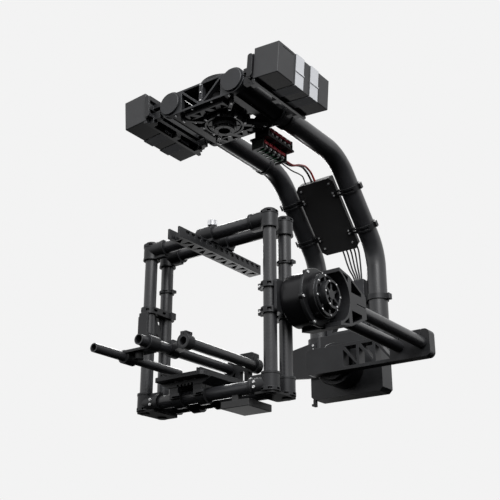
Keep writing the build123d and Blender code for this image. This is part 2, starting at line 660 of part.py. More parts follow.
def motor_leads():
    """Five leads that fall from the box's lower edge and gather on the web above the roll housing."""
    leads = []
    for k in range(5):
        start = on_box(MOTOR_LEAD_X + MOTOR_LEAD_STEP * k, -BOX_L / 2 + 2, -8)
        end = (UPRIGHT_PAD_X + 12 + 5.4 * k, ARM_REAR_Y - 16, HOUSING_TOP_Z + UPRIGHT_H - 2)
        dx = end[0] - start[0]
        dz = end[2] - start[2]
        route = [start, (start[0] + 0.03 * dx, start[1] + 13, start[2] + 0.15 * dz),
                 (start[0] + 0.2 * dx, start[1] + 14, start[2] + 0.4 * dz),
                 (start[0] + 0.47 * dx, start[1] + 10, start[2] + 0.64 * dz),
                 (start[0] + 0.8 * dx, start[1] + 4, start[2] + 0.82 * dz), end]
        leads.append(lead(f"motor_lead_{k + 1}", MOTOR_LEAD_R, route))
    return group(*leads)


# ---- roll drive ----------------------------------------------------------------------
def roll_housing():
    """The block across the arms' lower ends, with the roll motor's seat."""
    y0 = ARM_REAR_Y - HOUSING_T / 2
    y1 = ARM_REAR_Y + HOUSING_T / 2
    x1 = ARM_HALF_SPAN + ARM_R - 12
    body = block(-x1, x1, y0, y1, HOUSING_LOW_Z, HOUSING_TOP_Z)
    body = chamfer(body.edges().filter_by(Axis.Y), 10.0)
    wall = HOUSING_WALL
    body -= block(-x1 + wall, x1 - wall, y0 + wall, y1 - wall, HOUSING_LOW_Z + wall, HOUSING_TOP_Z - wall)
    body += rod_y(MOTOR_R + wall, 0, GIMBAL_Z, y0, y1) - rod_y(MOTOR_R - 4, 0, GIMBAL_Z, y0 + wall, y1 - wall)
    for sx in (-1, 1):
        body += rod_z(ARM_R + SOCKET_WALL, sx * ARM_HALF_SPAN, ARM_REAR_Y, ARM_END_Z - wall, HOUSING_TOP_Z)
        body -= rod_z(ARM_R, sx * ARM_HALF_SPAN, ARM_REAR_Y, ARM_END_Z, HOUSING_TOP_Z + 1)
    body += rod_y(MOTOR_R - 8, 0, GIMBAL_Z, y1, y1 + 10)
    for k in range(6):
        cut = Pos(0, y1 + 8, GIMBAL_Z) * Rot(0, 60 * k, 0) * Pos(30, 0, 0) * Box(20, 12, 9)
        body -= cut
    hook = block(-x1 + 6, -x1 + 14, y0, y0 + 10, HOUSING_LOW_Z - 14, HOUSING_LOW_Z + 2)
    hook += block(-x1 + 6, -x1 + 14, y0 - 8, y0 + 10, HOUSING_LOW_Z - 18, HOUSING_LOW_Z - 12)
    return body + hook


def roll_upright():
    """The web above the housing, where the motor leads come in."""
    y0 = ARM_REAR_Y - 12
    y1 = ARM_REAR_Y + 12
    side = ARM_HALF_SPAN - ARM_R - 4
    low = HOUSING_TOP_Z
    top = HOUSING_TOP_Z + UPRIGHT_H
    web = block(-side, side, y0, y1, low, top)
    web -= prism_y([(-50, low + 12), (26, low + 12), (-12, low + 80)], y0 - 1, y1 + 1)
    web -= prism_y([(-side - 1, low + 60), (-side - 1, top + 12), (16, top + 12)], y0 - 1, y1 + 1)
    return web + block(UPRIGHT_PAD_X, side, y0 - 10, y0, low + 60, top)


def arm_collars():
    """Split collars: two above the roll housing, and one on each arm's top run."""
    collars = []
    for sx in (-1, 1):
        x = sx * ARM_HALF_SPAN
        z0 = HOUSING_TOP_Z + 82
        z1 = z0 + 16
        body = rod_z(ARM_R + 3.5, x, ARM_REAR_Y, z0, z1)
        body += block(x + sx * (ARM_R - 2), x + sx * (ARM_R + 12), ARM_REAR_Y - 9, ARM_REAR_Y + 9, z0, z1)
        body += block(x - sx * (ARM_R + 4), x, ARM_REAR_Y - 12, ARM_REAR_Y + 12, z0, z1)
        body -= rod_z(ARM_R, x, ARM_REAR_Y, z0 - 1, z1 + 1)
        body -= block(x + sx * (ARM_R - 6), x + sx * (ARM_R + 14), ARM_REAR_Y - 1, ARM_REAR_Y + 1, z0 - 1, z1 + 1)
        collars.append(body)
    for sx, y0 in zip(COLLAR_SIDE, COLLAR_Y):
        x = sx * ARM_HALF_SPAN
        y1 = y0 + COLLAR_W
        body = rod_y(ARM_R + 3, x, ARM_TOP_Z, y0, y1)
        body += block(x, x + sx * (ARM_R + 10), y0, y1, ARM_TOP_Z - 6, ARM_TOP_Z + 6)
        body -= block(x, x + sx * (ARM_R + 11), y0 - 1, y1 + 1, ARM_TOP_Z - 1, ARM_TOP_Z + 1)
        collars.append(body - rod_y(ARM_R, x, ARM_TOP_Z, y0 - 1, y1 + 1))
    return group(*collars)


def roll_motor_can():
    can = rod_y(MOTOR_R, 0, GIMBAL_Z, ROLL_CAN_FRONT_Y, ROLL_BACK_Y)
    can = chamfer(can.edges().filter_by(GeomType.CIRCLE), 2.0)
    can -= rod_y(TILT_SHAFT_R + RUN_CLEAR, 0, GIMBAL_Z, ROLL_CAN_FRONT_Y - 1, ROLL_CAN_FRONT_Y + 25)
    return can


def accessory_plate():
    """A tapered plate on the housing's left end."""
    x0 = -ARM_HALF_SPAN + 8
    y1 = ARM_REAR_Y - HOUSING_T / 2
    outline = [(x0, GIMBAL_Z + 88), (x0, GIMBAL_Z - 18), (x0 - 82, GIMBAL_Z - 10), (x0 - 82, GIMBAL_Z + 74)]
    socket = rod_z(ARM_R + SOCKET_WALL, -ARM_HALF_SPAN, ARM_REAR_Y, HOUSING_LOW_Z, HOUSING_TOP_Z)
    return prism_y(outline, y1 - ACCESSORY_T, y1) - socket


def roll_output_hub():
    hub = rod_y(MOTOR_R - 12, 0, GIMBAL_Z, BEAM_Y + BEAM_T, ROLL_CAN_FRONT_Y - MOTOR_GAP)
    return hub + rod_y(TILT_SHAFT_R, 0, GIMBAL_Z, ROLL_CAN_FRONT_Y - 2, ROLL_CAN_FRONT_Y + 24)


def roll_beam():
    """The cross beam from the roll axis out to the twin tubes."""
    x0 = -62.0
    x1 = TWIN_X[1] + TWIN_R + BEAM_WALL
    y1 = BEAM_Y + BEAM_T
    z0 = GIMBAL_Z - BEAM_H / 2
    z1 = GIMBAL_Z + BEAM_H / 2
    beam = block(x0, x1, BEAM_Y, y1, z0, z1)
    beam = fillet(beam.edges().filter_by(Axis.Y), 14.0)
    last = TWIN_X[0] - TWIN_R - BEAM_WALL
    first = MOTOR_R - 8
    bay = (last - first) / 3
    for k in range(3):
        a = first + bay * k + 4
        b = a + bay - 8
        for pocket in ([(a, z0 + 9), (b, z0 + 9), (a, z1 - 16)], [(b, z1 - 9), (a + 6, z1 - 9), (b, z0 + 16)]):
            beam -= prism_y(pocket, BEAM_Y - 1, y1 + 1)
    for x in TWIN_X:
        beam -= rod_y(TWIN_R, x, GIMBAL_Z, BEAM_Y - 1, y1 - 4)
        beam -= block(x - 1, x + 1, BEAM_Y - 1, y1 - 4, GIMBAL_Z, z1 + 1)
    return beam


def twin_tubes():
    tubes = []
    for x in TWIN_X:
        outer = rod_y(TWIN_R, x, GIMBAL_Z, TWIN_FRONT_Y, BEAM_Y + BEAM_T - 4)
        tubes.append(outer - rod_y(TWIN_R - TWIN_WALL, x, GIMBAL_Z, TWIN_FRONT_Y - 1, BEAM_Y + BEAM_T))
    return group(*tubes)


# ---- tilt drive ------------------------------------------------------------------------
def tilt_motor_base():
    """The clamp block behind the tilt motor that grips the twin tubes."""
    x0 = CAN_X0 + 4
    x1 = TWIN_X[1] + TWIN_R + 8
    profile = [(18, GIMBAL_Z - 66), (62, GIMBAL_Z - 58), (132, GIMBAL_Z - 26), (132, GIMBAL_Z + 26),
               (62, GIMBAL_Z + 58), (18, GIMBAL_Z + 66)]
    body = prism_x(profile, x0, x1)
    body -= rod_x(MOTOR_R, 0, GIMBAL_Z, x0 - 1, x1 + 1)
    for sz in (-1, 1):
        window = [(66, GIMBAL_Z + sz * 21), (112, GIMBAL_Z + sz * 21), (112, GIMBAL_Z + sz * 29),
                  (68, GIMBAL_Z + sz * 50)]
        body -= prism_x(window, x0 - 1, x1 + 1)
        body -= prism_x([(30, GIMBAL_Z + sz * 58), (54, GIMBAL_Z + sz * 40), (56, GIMBAL_Z + sz * 54)],
                        x0 - 1, x1 + 1)
    mid = (TWIN_X[0] + TWIN_X[1]) / 2
    body -= block(mid - 12, mid + 12, 84, 140, GIMBAL_Z - 70, GIMBAL_Z + 70)
    for x in TWIN_X:
        body -= rod_y(TWIN_R, x, GIMBAL_Z, TWIN_FRONT_Y, 140)
    body -= block(mid, x1 + 1, 90, 140, GIMBAL_Z - 1, GIMBAL_Z + 1)
    body -= block(x0 - 1, mid, 90, 140, GIMBAL_Z - 1, GIMBAL_Z + 1)
    return body - rod_x(MOTOR_FLANGE_R + 1.5, 0, GIMBAL_Z, CAN_X1 - 0.5, FLANGE_X1 + SCREW_H + 0.5)


def motor_lugs(radius, x0, x1):
    """Bolt lugs round a motor flange."""
    lugs = []
    for y, z in ring(6, radius, 12):
        lugs.append(rod_x(6.5, y, GIMBAL_Z + z, x0, x1))
    return lugs


def tilt_motor_can():
    can = rod_x(MOTOR_R, 0, GIMBAL_Z, CAN_X0, CAN_X1)
    can = chamfer(can.edges().filter_by(GeomType.CIRCLE), 2.0)
    flange = rod_x(MOTOR_FLANGE_R - 3, 0, GIMBAL_Z, CAN_X1, FLANGE_X1)
    flange = fillet(flange.edges().filter_by(GeomType.CIRCLE), 2.5)
    for lug in motor_lugs(MOTOR_FLANGE_R - 6, CAN_X1, FLANGE_X1):
        flange += lug
    can = can + flange
    return can - rod_x(TILT_SHAFT_R + RUN_CLEAR, 0, GIMBAL_Z, CAN_X0 - 1, CAN_X0 + 30)


def tilt_motor_cap():
    """The low outer drum with its spoked end and a smaller ring that stands further out."""
    drum = rod_x(CAP_R + 3, 0, GIMBAL_Z, FLANGE_X1, BACK_X1)
    drum -= rod_x(CAP_R - 5, 0, GIMBAL_Z, FLANGE_X1 + 5, BACK_X1 + 1)
    rim = rod_x(CAP_R, 0, GIMBAL_Z, BACK_X1, CAP_X1) - rod_x(CAP_R - 6, 0, GIMBAL_Z, BACK_X1 - 1, CAP_X1 + 1)
    hub = rod_x(CAP_RING_R, 0, GIMBAL_Z, FLANGE_X1 + 4, RING_X1)
    hub -= rod_x(CAP_RING_R - 5, 0, GIMBAL_Z, FLANGE_X1 + 14, RING_X1 + 1)
    hub += rod_x(11, 0, GIMBAL_Z, FLANGE_X1 + 13, RING_X1 - 3)
    shape = drum + rim + hub
    for k in range(8):
        spoke = block(BACK_X1 - 4, CAP_X1 - 1, CAP_RING_R - 2, CAP_R - 3, GIMBAL_Z - 3.5, GIMBAL_Z + 3.5)
        shape += Pos(0, 0, GIMBAL_Z) * Rot(45 * k + 12, 0, 0) * Pos(0, 0, -GIMBAL_Z) * spoke
    for k in range(6):
        inner = block(RING_X1 - 9, RING_X1 - 4, 9, CAP_RING_R - 3, GIMBAL_Z - 2.5, GIMBAL_Z + 2.5)
        shape += Pos(0, 0, GIMBAL_Z) * Rot(60 * k + 30, 0, 0) * Pos(0, 0, -GIMBAL_Z) * inner
    return shape


def tilt_screws():
    heads = []
    for y, z in ring(6, MOTOR_FLANGE_R - 6, 12):
        heads.append(rod_x(SCREW_R, y, GIMBAL_Z + z, FLANGE_X1, FLANGE_X1 + SCREW_H))
    for y, z in ring(8, CAP_R - 3, 12):
        heads.append(rod_x(SCREW_R - 0.8, y, GIMBAL_Z + z, CAP_X1, CAP_X1 + 1.6))
    for y, z in ring(6, CAP_RING_R - 2.5, 0):
        heads.append(rod_x(2.0, y, GIMBAL_Z + z, RING_X1, RING_X1 + 1.4))
    return group(*heads)


def tilt_rotor_plate():
    """The plate that carries the cage, on the tilt motor's shaft."""
    plate = block(PLATE_X0, PLATE_X1, POST_Y[0] - 14, 46, GIMBAL_Z - TILT_CLAMP_DZ - 8, GIMBAL_Z + TILT_CLAMP_DZ + 8)
    plate = fillet(plate.edges().filter_by(Axis.X), 8.0)
    plate += rod_x(46, 0, GIMBAL_Z, PLATE_X0, PLATE_X1)
    for y, z in ring(8, 34, 22.5):
        plate -= rod_x(4.5, y, GIMBAL_Z + z, PLATE_X0 - 1, PLATE_X1 + 1)
    return plate + rod_x(TILT_SHAFT_R, 0, GIMBAL_Z, PLATE_X1 - 1, CAN_X0 + 28)


# ---- cage -----------------------------------------------------------------------------
def posts():
    tubes = []
    for side in (-1, 1):
        for y in POST_Y:
            outer = rod_z(TUBE_R, side * POST_X, y, POST_LOW_Z, POST_TOP_Z)
            tubes.append(outer - rod_z(TUBE_R - TUBE_WALL, side * POST_X, y, POST_LOW_Z - 1, POST_TOP_Z + 1))
    return group(*tubes)


def crossbars():
    bars = []
    for z in (TOP_BAR_Z, LOW_BAR_Z):
        for y in POST_Y:
            outer = rod_x(TUBE_R, y, z, -BAR_INNER_X, BAR_INNER_X)
            bars.append(outer - rod_x(TUBE_R - TUBE_WALL, y, z, -BAR_INNER_X - 1, BAR_INNER_X + 1))
    return group(*bars)


def corner(side, y, z, up):
    """A fitting that grips a post and a crossbar at right angles."""
    x = side * POST_X
    band = z + up * (CORNER_H - 4)
    body = rod_z(CLAMP_R - 1, x, y, z - up * CORNER_REACH, z + up * CORNER_H)
    body += rod_z(CLAMP_R, x, y, z + up * (CORNER_H - 8), z + up * CORNER_H)
    body += rod_z(CLAMP_R, x, y, z - up * (CORNER_REACH - 5), z - up * CORNER_REACH)
    body += rod_x(CLAMP_R - 1.5, y, z, side * (BAR_INNER_X - 26), x)
    body += rod_x(CLAMP_R, y, z, side * (BAR_INNER_X - 26), side * (BAR_INNER_X - 18))
    body += block(side * (BAR_INNER_X - 24), x, y - 6, y + 6, z - up * 24, z)
    for window in ring_windows(x, y, band, CLAMP_R, 4.4):
        body -= window
    beyond = z + up * CORNER_H
    body -= block(-POST_X - 40, POST_X + 40, y - 40, y + 40, beyond, beyond + up * 20)
    body -= rod_z(TUBE_R, x, y, z - 30, z + 30)
    return body - rod_x(TUBE_R, y, z, side * (BAR_INNER_X - 27), side * BAR_INNER_X)


def corners():
    fittings = []
    for z, up in ((TOP_BAR_Z, 1), (LOW_BAR_Z, -1)):
        for side in (-1, 1):
            for y in POST_Y:
                fittings.append(corner(side, y, z, up))
    return group(*fittings)


def cage_feet():
    """Caps in the posts' ends, and a footed base plate under each pair of lower corners."""
    feet = []
    plug_r = TUBE_R - TUBE_WALL
    for side in (-1, 1):
        x = side * POST_X
        plate = block(x - side * 36, x + side * 16, POST_Y[0] - 15, POST_Y[1] + 17, FOOT_TOP_Z - FOOT_T, FOOT_TOP_Z)
        plate = fillet(plate.edges().filter_by(Axis.Z), 8.0)
        for y in POST_Y:
            plate += rod_z(plug_r, x, y, FOOT_TOP_Z, FOOT_TOP_Z + 10)
            plate += rod_z(11, x, y, FOOT_TOP_Z - FOOT_T - 2, FOOT_TOP_Z - FOOT_T)
            feet.append(rod_z(TUBE_R, x, y, POST_TOP_Z, POST_TOP_Z + 3) + rod_z(plug_r, x, y, POST_TOP_Z - 8, POST_TOP_Z))
        feet.append(plate)
    return group(*feet)


def post_rings():
    """Split clamps on the posts: four on the tilt plate and a slim one on each rear post."""
    rings = []
    for y in POST_Y:
        for dz in (-TILT_CLAMP_DZ, TILT_CLAMP_DZ):
            rings.append(post_clamp(POST_X, y, GIMBAL_Z + dz, -1, CLAMP_W, CLAMP_R))
    for side in (-1, 1):
        rings.append(post_clamp(side * POST_X, POST_Y[1], GIMBAL_Z + SLIM_RING_DZ, 1, 7.0, TUBE_R + 3.5))
    return group(*rings)


def left_bracket():
    """Two windowed bars across the left posts, tied by a front plate and a pierced gusset, with a side lever."""
    x = -POST_X
    front = POST_Y[0] - CLAMP_R
    low = BRACKET_LOW_Z + BRACKET_BAR_H
    high = BRACKET_TOP_Z - BRACKET_BAR_H
    shape = block(x - 13, x + 13, front - 1, front + 5, low - 1, high + 1)
    gap_y0 = POST_Y[0] + TUBE_R + 1
    gap_y1 = POST_Y[1] - TUBE_R - 1
    gusset = block(x - 4, x + 4, gap_y0, gap_y1, BRACKET_LOW_Z, BRACKET_TOP_Z)
    gusset -= prism_x([(gap_y0 + 4, high - 2), (gap_y1 - 4, high - 2), (gap_y1 - 4, low + 26)], x - 5, x + 5)
    gusset -= rod_x(5, gap_y0 + 9, low + 12, x - 5, x + 5)
    shape += gusset
    for z0 in (BRACKET_LOW_Z, high):
        z1 = z0 + BRACKET_BAR_H
        mid = z0 + BRACKET_BAR_H / 2
        shape += block(x - CLAMP_R, x + CLAMP_R, POST_Y[0], POST_Y[1], z0, z1)
        for y in POST_Y:
            shape += rod_z(CLAMP_R, x, y, z0, z1)
        shape += block(x + 12, x + CLAMP_R + 5, POST_Y[1] - 8, POST_Y[1] + 8, z0, z1)
        for wx in (x - 9, x + 9):
            shape -= block(wx - 4, wx + 4, front - 2, front + 8, mid - 3, mid + 3)
        for wy in (POST_Y[0], CAGE_Y, POST_Y[1]):
            shape -= block(x - CLAMP_R - 1, x + CLAMP_R + 1, wy - 6, wy + 6, mid - 3, mid + 3)
    shape += block(x - 30, x - 25, POST_Y[0] - 6, POST_Y[0] + 6, GIMBAL_Z - 24, GIMBAL_Z + 26)
    shape += block(x - 30, x, POST_Y[0] - 5, POST_Y[0] + 5, GIMBAL_Z + 14, GIMBAL_Z + 22)
    shape += block(x - CLAMP_R, x, POST_Y[0] - 5, POST_Y[0] + 5, GIMBAL_Z + 14, high + 1)
    for y in POST_Y:
        shape -= rod_z(TUBE_R, x, y, BRACKET_LOW_Z - 1, BRACKET_TOP_Z + 1)
    return shape


def cage_screws():
    heads = []
    for side in (-1, 1):
        for z in (LOW_BAR_Z - 10, LOW_BAR_Z + 12):
            x = side * (BAR_INNER_X - 8)
            y = POST_Y[0] - CLAMP_R + 1.5
            heads.append(rod_y(SCREW_R, x, (z + LOW_BAR_Z) / 2, y - SCREW_H, y + 1))
    for y in POST_Y:
        for dz in (-TILT_CLAMP_DZ, TILT_CLAMP_DZ):
            head_x = POST_X - CLAMP_R - 2.5
            heads.append(rod_y(SCREW_R, head_x, GIMBAL_Z + dz, y - 7 - SCREW_H, y - 7))
    return group(*heads)


# ---- top rail -----------------------------------------------------------------------------
def rail_carrier():
    """Two saddles that hang the rail from the top crossbars."""
    saddles = []
    top = TOP_BAR_Z - TUBE_R
    for y in POST_Y:
        body = rod_x(CLAMP_R, y, TOP_BAR_Z, -22, 22)
        body += block(-22, 22, y - 13, y + 13, top - 7, TOP_BAR_Z)
        body -= rod_x(TUBE_R, y, TOP_BAR_Z, -23, 23)
        saddles.append(body)
    return group(*saddles)


def top_rail():
    """A channel rail with a pierced lower web and a forked front end."""
    z1 = TOP_BAR_Z - TUBE_R - 7 - SLIDE_CLEAR
    z0 = z1 - RAIL_H
    rail = block(-RAIL_W / 2, RAIL_W / 2, RAIL_FRONT_Y, RAIL_REAR_Y, z0, z1)
    rail -= block(-RAIL_W / 2 + 5, RAIL_W / 2 - 5, RAIL_FRONT_Y - 1, RAIL_REAR_Y + 1, z0 + 8, z1 + 1)
    length = RAIL_REAR_Y - RAIL_FRONT_Y
    count = 14
    step = (length - 24) / count
    for k in range(count):
        y = RAIL_FRONT_Y + 20 + step * k
        flip = 1 if k % 2 else -1
        pocket = [(-flip * 11, y), (flip * 11, y), (flip * 11, y + step - 5)]
        rail -= prism_z(pocket, z0 - 1, z0 + 6)
        for side in (-1, 1):
            rail -= block(side * (RAIL_W / 2 - 3), side * (RAIL_W / 2 + 1), y + 3, y + step - 5, z0 + 11, z1 - 4)
    rail -= block(-7, 7, RAIL_FRONT_Y - 1, RAIL_FRONT_Y + 16, z0 - 1, z1 + 1)
    return rail


def rail_knob(x, y):
    """A fluted clamp knob above a saddle."""
    z0 = TOP_BAR_Z + CLAMP_R + 0.3
    knob = rod_z(11, x, y, z0, z0 + 13)
    for px, py in ring(8, 12.5):
        knob -= rod_z(2.8, x + px, y + py, z0 + 2, z0 + 14)
    return knob


# ---- camera plate and rods -------------------------------------------------------------------
def camera_base():
    """A tapered bridge on the lower crossbars, ribbed beneath, with lever clamps."""
    z0 = LOW_BAR_Z + CLAMP_R
    front = POST_Y[0] - 30
    rear = POST_Y[1] + 30
    half = BASE_W / 2
    outline = [(BASE_X - half, BASE_TOP_Z), (BASE_X + half, BASE_TOP_Z), (BASE_X + half - 26, z0), (BASE_X - half + 26, z0)]
    plate = prism_y(outline, front, rear)
    for k in range(5):
        x = BASE_X - 20 + 10 * k
        plate -= block(x - 3, x + 3, front - 1, rear + 1, z0 - 1, z0 + 5)
    for y in POST_Y:
        for x in (BASE_X - 34, BASE_X + 34):
            saddle = rod_x(CLAMP_R, y, LOW_BAR_Z, x - 12, x + 12)
            saddle += block(x - 12, x + 12, y - 14, y + 14, LOW_BAR_Z, z0 + 1)
            saddle += block(x - 12, x + 12, y - 28, y - 16, LOW_BAR_Z - 4, z0 + 1)
            saddle += rod_y(5, x, LOW_BAR_Z + 2, y - 36, y - 27)
            saddle += block(x - 3, x + 22, y - 36, y - 31, LOW_BAR_Z - 1, LOW_BAR_Z + 5)
            plate += saddle - rod_x(TUBE_R, y, LOW_BAR_Z, x - 13, x + 13)
    return plate


def camera_plate():
    """The sliding plate with its two grooved rails."""
    front = CAMERA_PLATE_FRONT_Y
    rear = CAMERA_PLATE_REAR_Y
    z0 = CAMERA_PLATE_Z0
    z1 = CAMERA_PLATE_Z1
    half = PLATE_W / 2
    plate = block(BASE_X - half, BASE_X + half, front, rear, z0, z1)
    plate = chamfer(plate.edges().filter_by(Axis.Z), 6.0)
    for x in (BASE_X - 26, BASE_X, BASE_X + 26):
        plate -= block(x - 4, x + 4, front + 22, rear - 30, z0 - 1, z1 + 1)
    for x in CAMERA_RAIL_X:
        plate += block(x, x + 12, front + 8, rear - 26, z1, z1 + CAMERA_RAIL_H)
        plate -= block(x + 4, x + 8, front, rear - 26, z1 + 4, z1 + CAMERA_RAIL_H + 1)
    return plate


def rod_hanger():
    """The hanger that holds both upper rods on the camera plate, and the block behind them."""
    rods = (ROD_LEFT_X, ROD_RIGHT_X)
    y0 = HANGER_Y
    y1 = HANGER_Y + HANGER_T
    bar = block(ROD_LEFT_X, ROD_RIGHT_X, y0, y1, ROD_Z - 11, ROD_Z + 11)
    for x in rods:
        bar += rod_y(ROD_R + 6, x, ROD_Z, y0, y1)
        bar += block(x - 6, x + 6, y0, y1, ROD_Z, ROD_Z + ROD_R + 10)
    for x in rods:
        bar -= rod_y(ROD_R + SLIDE_CLEAR, x, ROD_Z, y0 - 1, y1 + 1)
        bar -= block(x - 1, x + 1, y0 - 1, y1 + 1, ROD_Z, ROD_Z + ROD_R + 11)
    for x in (ROD_LEFT_X + 22, ROD_RIGHT_X - 20):
        bar += block(x - 6, x + 6, y0, y1, CAMERA_PLATE_Z1, ROD_Z - 10)
    back_y = y1 + REAR_BLOCK_GAP
    rear = block(REAR_BLOCK_X[0], REAR_BLOCK_X[1], back_y, back_y + REAR_BLOCK_T, ROD_Z - 4, ROD_Z + 40)
    rear = chamfer(rear.edges().filter_by(Axis.Y), 3.0)
    neck = block(REAR_BLOCK_X[0] + 6, REAR_BLOCK_X[1] - 16, y1 - 1, back_y + 1, ROD_Z - 3, ROD_Z + 9)
    return bar + rear + neck


def upper_rods():
    """The two upper rods, each with a drilled front end."""
    return group(hollow_rod(ROD_LEFT_X, ROD_Z, ROD_R, ROD_LEFT_Y), hollow_rod(ROD_RIGHT_X, ROD_Z, ROD_R, ROD_RIGHT_Y))


def rod_front_clamp():
    """The slanted clamp that ties the two upper rods near their front ends."""
    left = FRONT_CLAMP_LEFT_Y
    right = FRONT_CLAMP_RIGHT_Y
    thick = FRONT_CLAMP_T
    outline = [(ROD_LEFT_X, left), (ROD_RIGHT_X, right), (ROD_RIGHT_X, right + thick), (ROD_LEFT_X, left + thick)]
    body = prism_z(outline, ROD_Z - 9, ROD_Z + 9)
    for x, y in ((ROD_LEFT_X, left), (ROD_RIGHT_X, right)):
        body += rod_y(ROD_R + 5, x, ROD_Z, y, y + thick)
        body += block(x - 8, x + 8, y, y + thick, ROD_Z, ROD_Z + ROD_R + 10)
    for x, y in ((ROD_LEFT_X, left), (ROD_RIGHT_X, right)):
        body -= rod_y(ROD_R, x, ROD_Z, y - 30, y + thick + 30)
        body -= block(x - 1, x + 1, y - 1, y + thick + 1, ROD_Z, ROD_Z + ROD_R + 11)
        body -= rod_x(2.2, y + thick / 2, ROD_Z + ROD_R + 6, x - 9, x + 9)
    return body


def hollow_rod(x, z, r, span):
    """A rod with a drilled front end."""
    body = rod_y(r, x, z, span[0], span[1])
    return body - rod_y(r - 2.5, x, z, span[0] - 1, span[0] + 30)


def low_rod():
    """The low rod, with a shallow groove that ends its free front stretch."""
    body = hollow_rod(LOW_ROD_X, LOW_ROD_Z, LOW_ROD_R, LOW_ROD_Y)
    y0 = LOW_ROD_Y[0] + LOW_ROD_FREE
    groove = rod_y(LOW_ROD_R + 1, LOW_ROD_X, LOW_ROD_Z, y0, y0 + 2) - rod_y(LOW_ROD_R - 0.6, LOW_ROD_X, LOW_ROD_Z, y0 - 1, y0 + 3)
    return body - groove


def rod_bridge():
    """The clamp plate that ties the low rod to the left upper rod, with a knob beneath."""
    y0 = BRIDGE_Y
    y1 = BRIDGE_Y + BRIDGE_W
    top = BRIDGE_TOP_Z
    body = block(LOW_ROD_X - 16, ROD_LEFT_X, y0, y1, top - BRIDGE_T, top)
    body += rod_y(LOW_ROD_R + 5, LOW_ROD_X, LOW_ROD_Z, y0 + 4, y1 - 4)
    body += rod_y(ROD_R + 5, ROD_LEFT_X, ROD_Z, y0 + 4, y1 - 4)
    body += rod_z(10, (LOW_ROD_X + ROD_LEFT_X) / 2, (y0 + y1) / 2, top - BRIDGE_T - 14, top - 1)
    body += block(ROD_LEFT_X - 3, ROD_LEFT_X + 3, y0 + 6, y1 - 6, ROD_Z, ROD_Z + ROD_R + 9)
    body -= rod_y(LOW_ROD_R + SLIDE_CLEAR, LOW_ROD_X, LOW_ROD_Z, y0 - 1, y1 + 1)
    return body - rod_y(ROD_R + SLIDE_CLEAR, ROD_LEFT_X, ROD_Z, y0 - 1, y1 + 1)


def clamp_lever(x, y, z0, reach):
    """A cam lever on a vertical pin."""
    lever = rod_z(7, x, y, z0, z0 + 9)
    lever += block(x, x + reach, y - 4, y + 4, z0 + 3, z0 + 8)
    return lever + rod_z(5, x + reach, y, z0 + 3, z0 + 9)


def receiver_box():
    """A flat receiver hung under the lower crossbars on two short brackets."""
    body = block(RECEIVER_X[0], RECEIVER_X[1], RECEIVER_Y[0], RECEIVER_Y[1], RECEIVER_Z - RECEIVER_T, RECEIVER_Z)
    body = fillet(body.edges(), 1.5)
    mid = (RECEIVER_X[0] + RECEIVER_X[1]) / 2
    for y in POST_Y:
        hanger = block(mid - 8, mid + 8, y - 8, y + 8, RECEIVER_Z - 1, LOW_BAR_Z)
        body += hanger - rod_x(TUBE_R, y, LOW_BAR_Z, mid - 9, mid + 9)
    return body


# ---- build -----------------------------------------------------------------------------------
def build_all():
    os.makedirs("parts", exist_ok=True)
    save("top_mount_plate", top_mount_plate())
    save("pan_shaft", pan_shaft())
    save("pan_motor_can", pan_motor_can())
    save("hub_top_plate", hub_top_plate())
    save("hub_lower_plate", hub_lower_plate())
    save("front_bulkhead", bulkhead(ARM_FRONT_Y, ARM_FRONT_Y + BULKHEAD_T))
    save("rear_bulkhead", bulkhead(REAR_BULKHEAD_Y, REAR_BULKHEAD_Y + BULKHEAD_T))
    save("arm_left", arm(-1))
    save("arm_right", arm(1))
    save("arm_end_caps", arm_end_caps())
    for side, name in ((-1, "left"), (1, "right")):
        save(f"tray_{name}", tray(side))
        save(f"battery_{name}", battery(side))
    save("battery_straps", battery_straps())
    save("hub_screws", hub_screws())
    save("module_bracket", module_bracket())
    save("power_module_upper", power_module(UPPER_MODULE_X, SHELF_Z, 1))
    save("power_module_lower", power_module(LOWER_MODULE_X, SHELF_Z - SHELF_T, -1))
    save("lead_power_red", lead("lead_power_red", POWER_LEAD_R, power_route(42, -2, 0)))
    save("lead_power_black", lead("lead_power_black", POWER_LEAD_R, power_route(34, -12, 2)))
    save("lead_signal", lead("lead_signal", LEAD_R, signal_route()))
    save("motor_leads", motor_leads())
    save("electronics_box", electronics_box())
    save("electronics_cover", electronics_cover())
    save("box_clamps", box_clamps())
    save("rear_screws", rear_screws())
    save("roll_housing", roll_housing())
    save("roll_upright", roll_upright())
    save("arm_collars", arm_collars())
    save("roll_motor_can", roll_motor_can())
    save("accessory_plate", accessory_plate())
    save("roll_output_hub", roll_output_hub())
    save("roll_beam", roll_beam())
    save("twin_tubes", twin_tubes())
    save("tilt_motor_base", tilt_motor_base())
    save("tilt_motor_can", tilt_motor_can())
    save("tilt_motor_cap", tilt_motor_cap())
    save("tilt_screws", tilt_screws())
    save("tilt_rotor_plate", tilt_rotor_plate())
    save("posts", posts())
    save("crossbars", crossbars())
    save("corners", corners())
    save("cage_feet", cage_feet())
    save("post_rings", post_rings())
    save("left_bracket", left_bracket())
    save("cage_screws", cage_screws())
    save("rail_carrier", rail_carrier())
    save("top_rail", top_rail())
    save("rail_knob_front", rail_knob(12, POST_Y[0]))
    save("rail_knob_rear", rail_knob(12, POST_Y[1]))
    save("camera_base", camera_base())
    save("camera_plate", camera_plate())
    save("rod_hanger", rod_hanger())
    save("upper_rods", upper_rods())
    save("rod_front_clamp", rod_front_clamp())
    save("rod_low", low_rod())
    save("rod_bridge", rod_bridge())
    save("bridge_lever", clamp_lever(LEVER_X, LEVER_Y, BRIDGE_TOP_Z + SLIDE_CLEAR, -30))
    save("receiver_box", receiver_box())


build_all()
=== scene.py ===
"""Looks for a hanging three-axis camera stabilizer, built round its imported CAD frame.

Metres, +Z up. The camera cage looks along -Y and the tilt motor is on +X.
"""

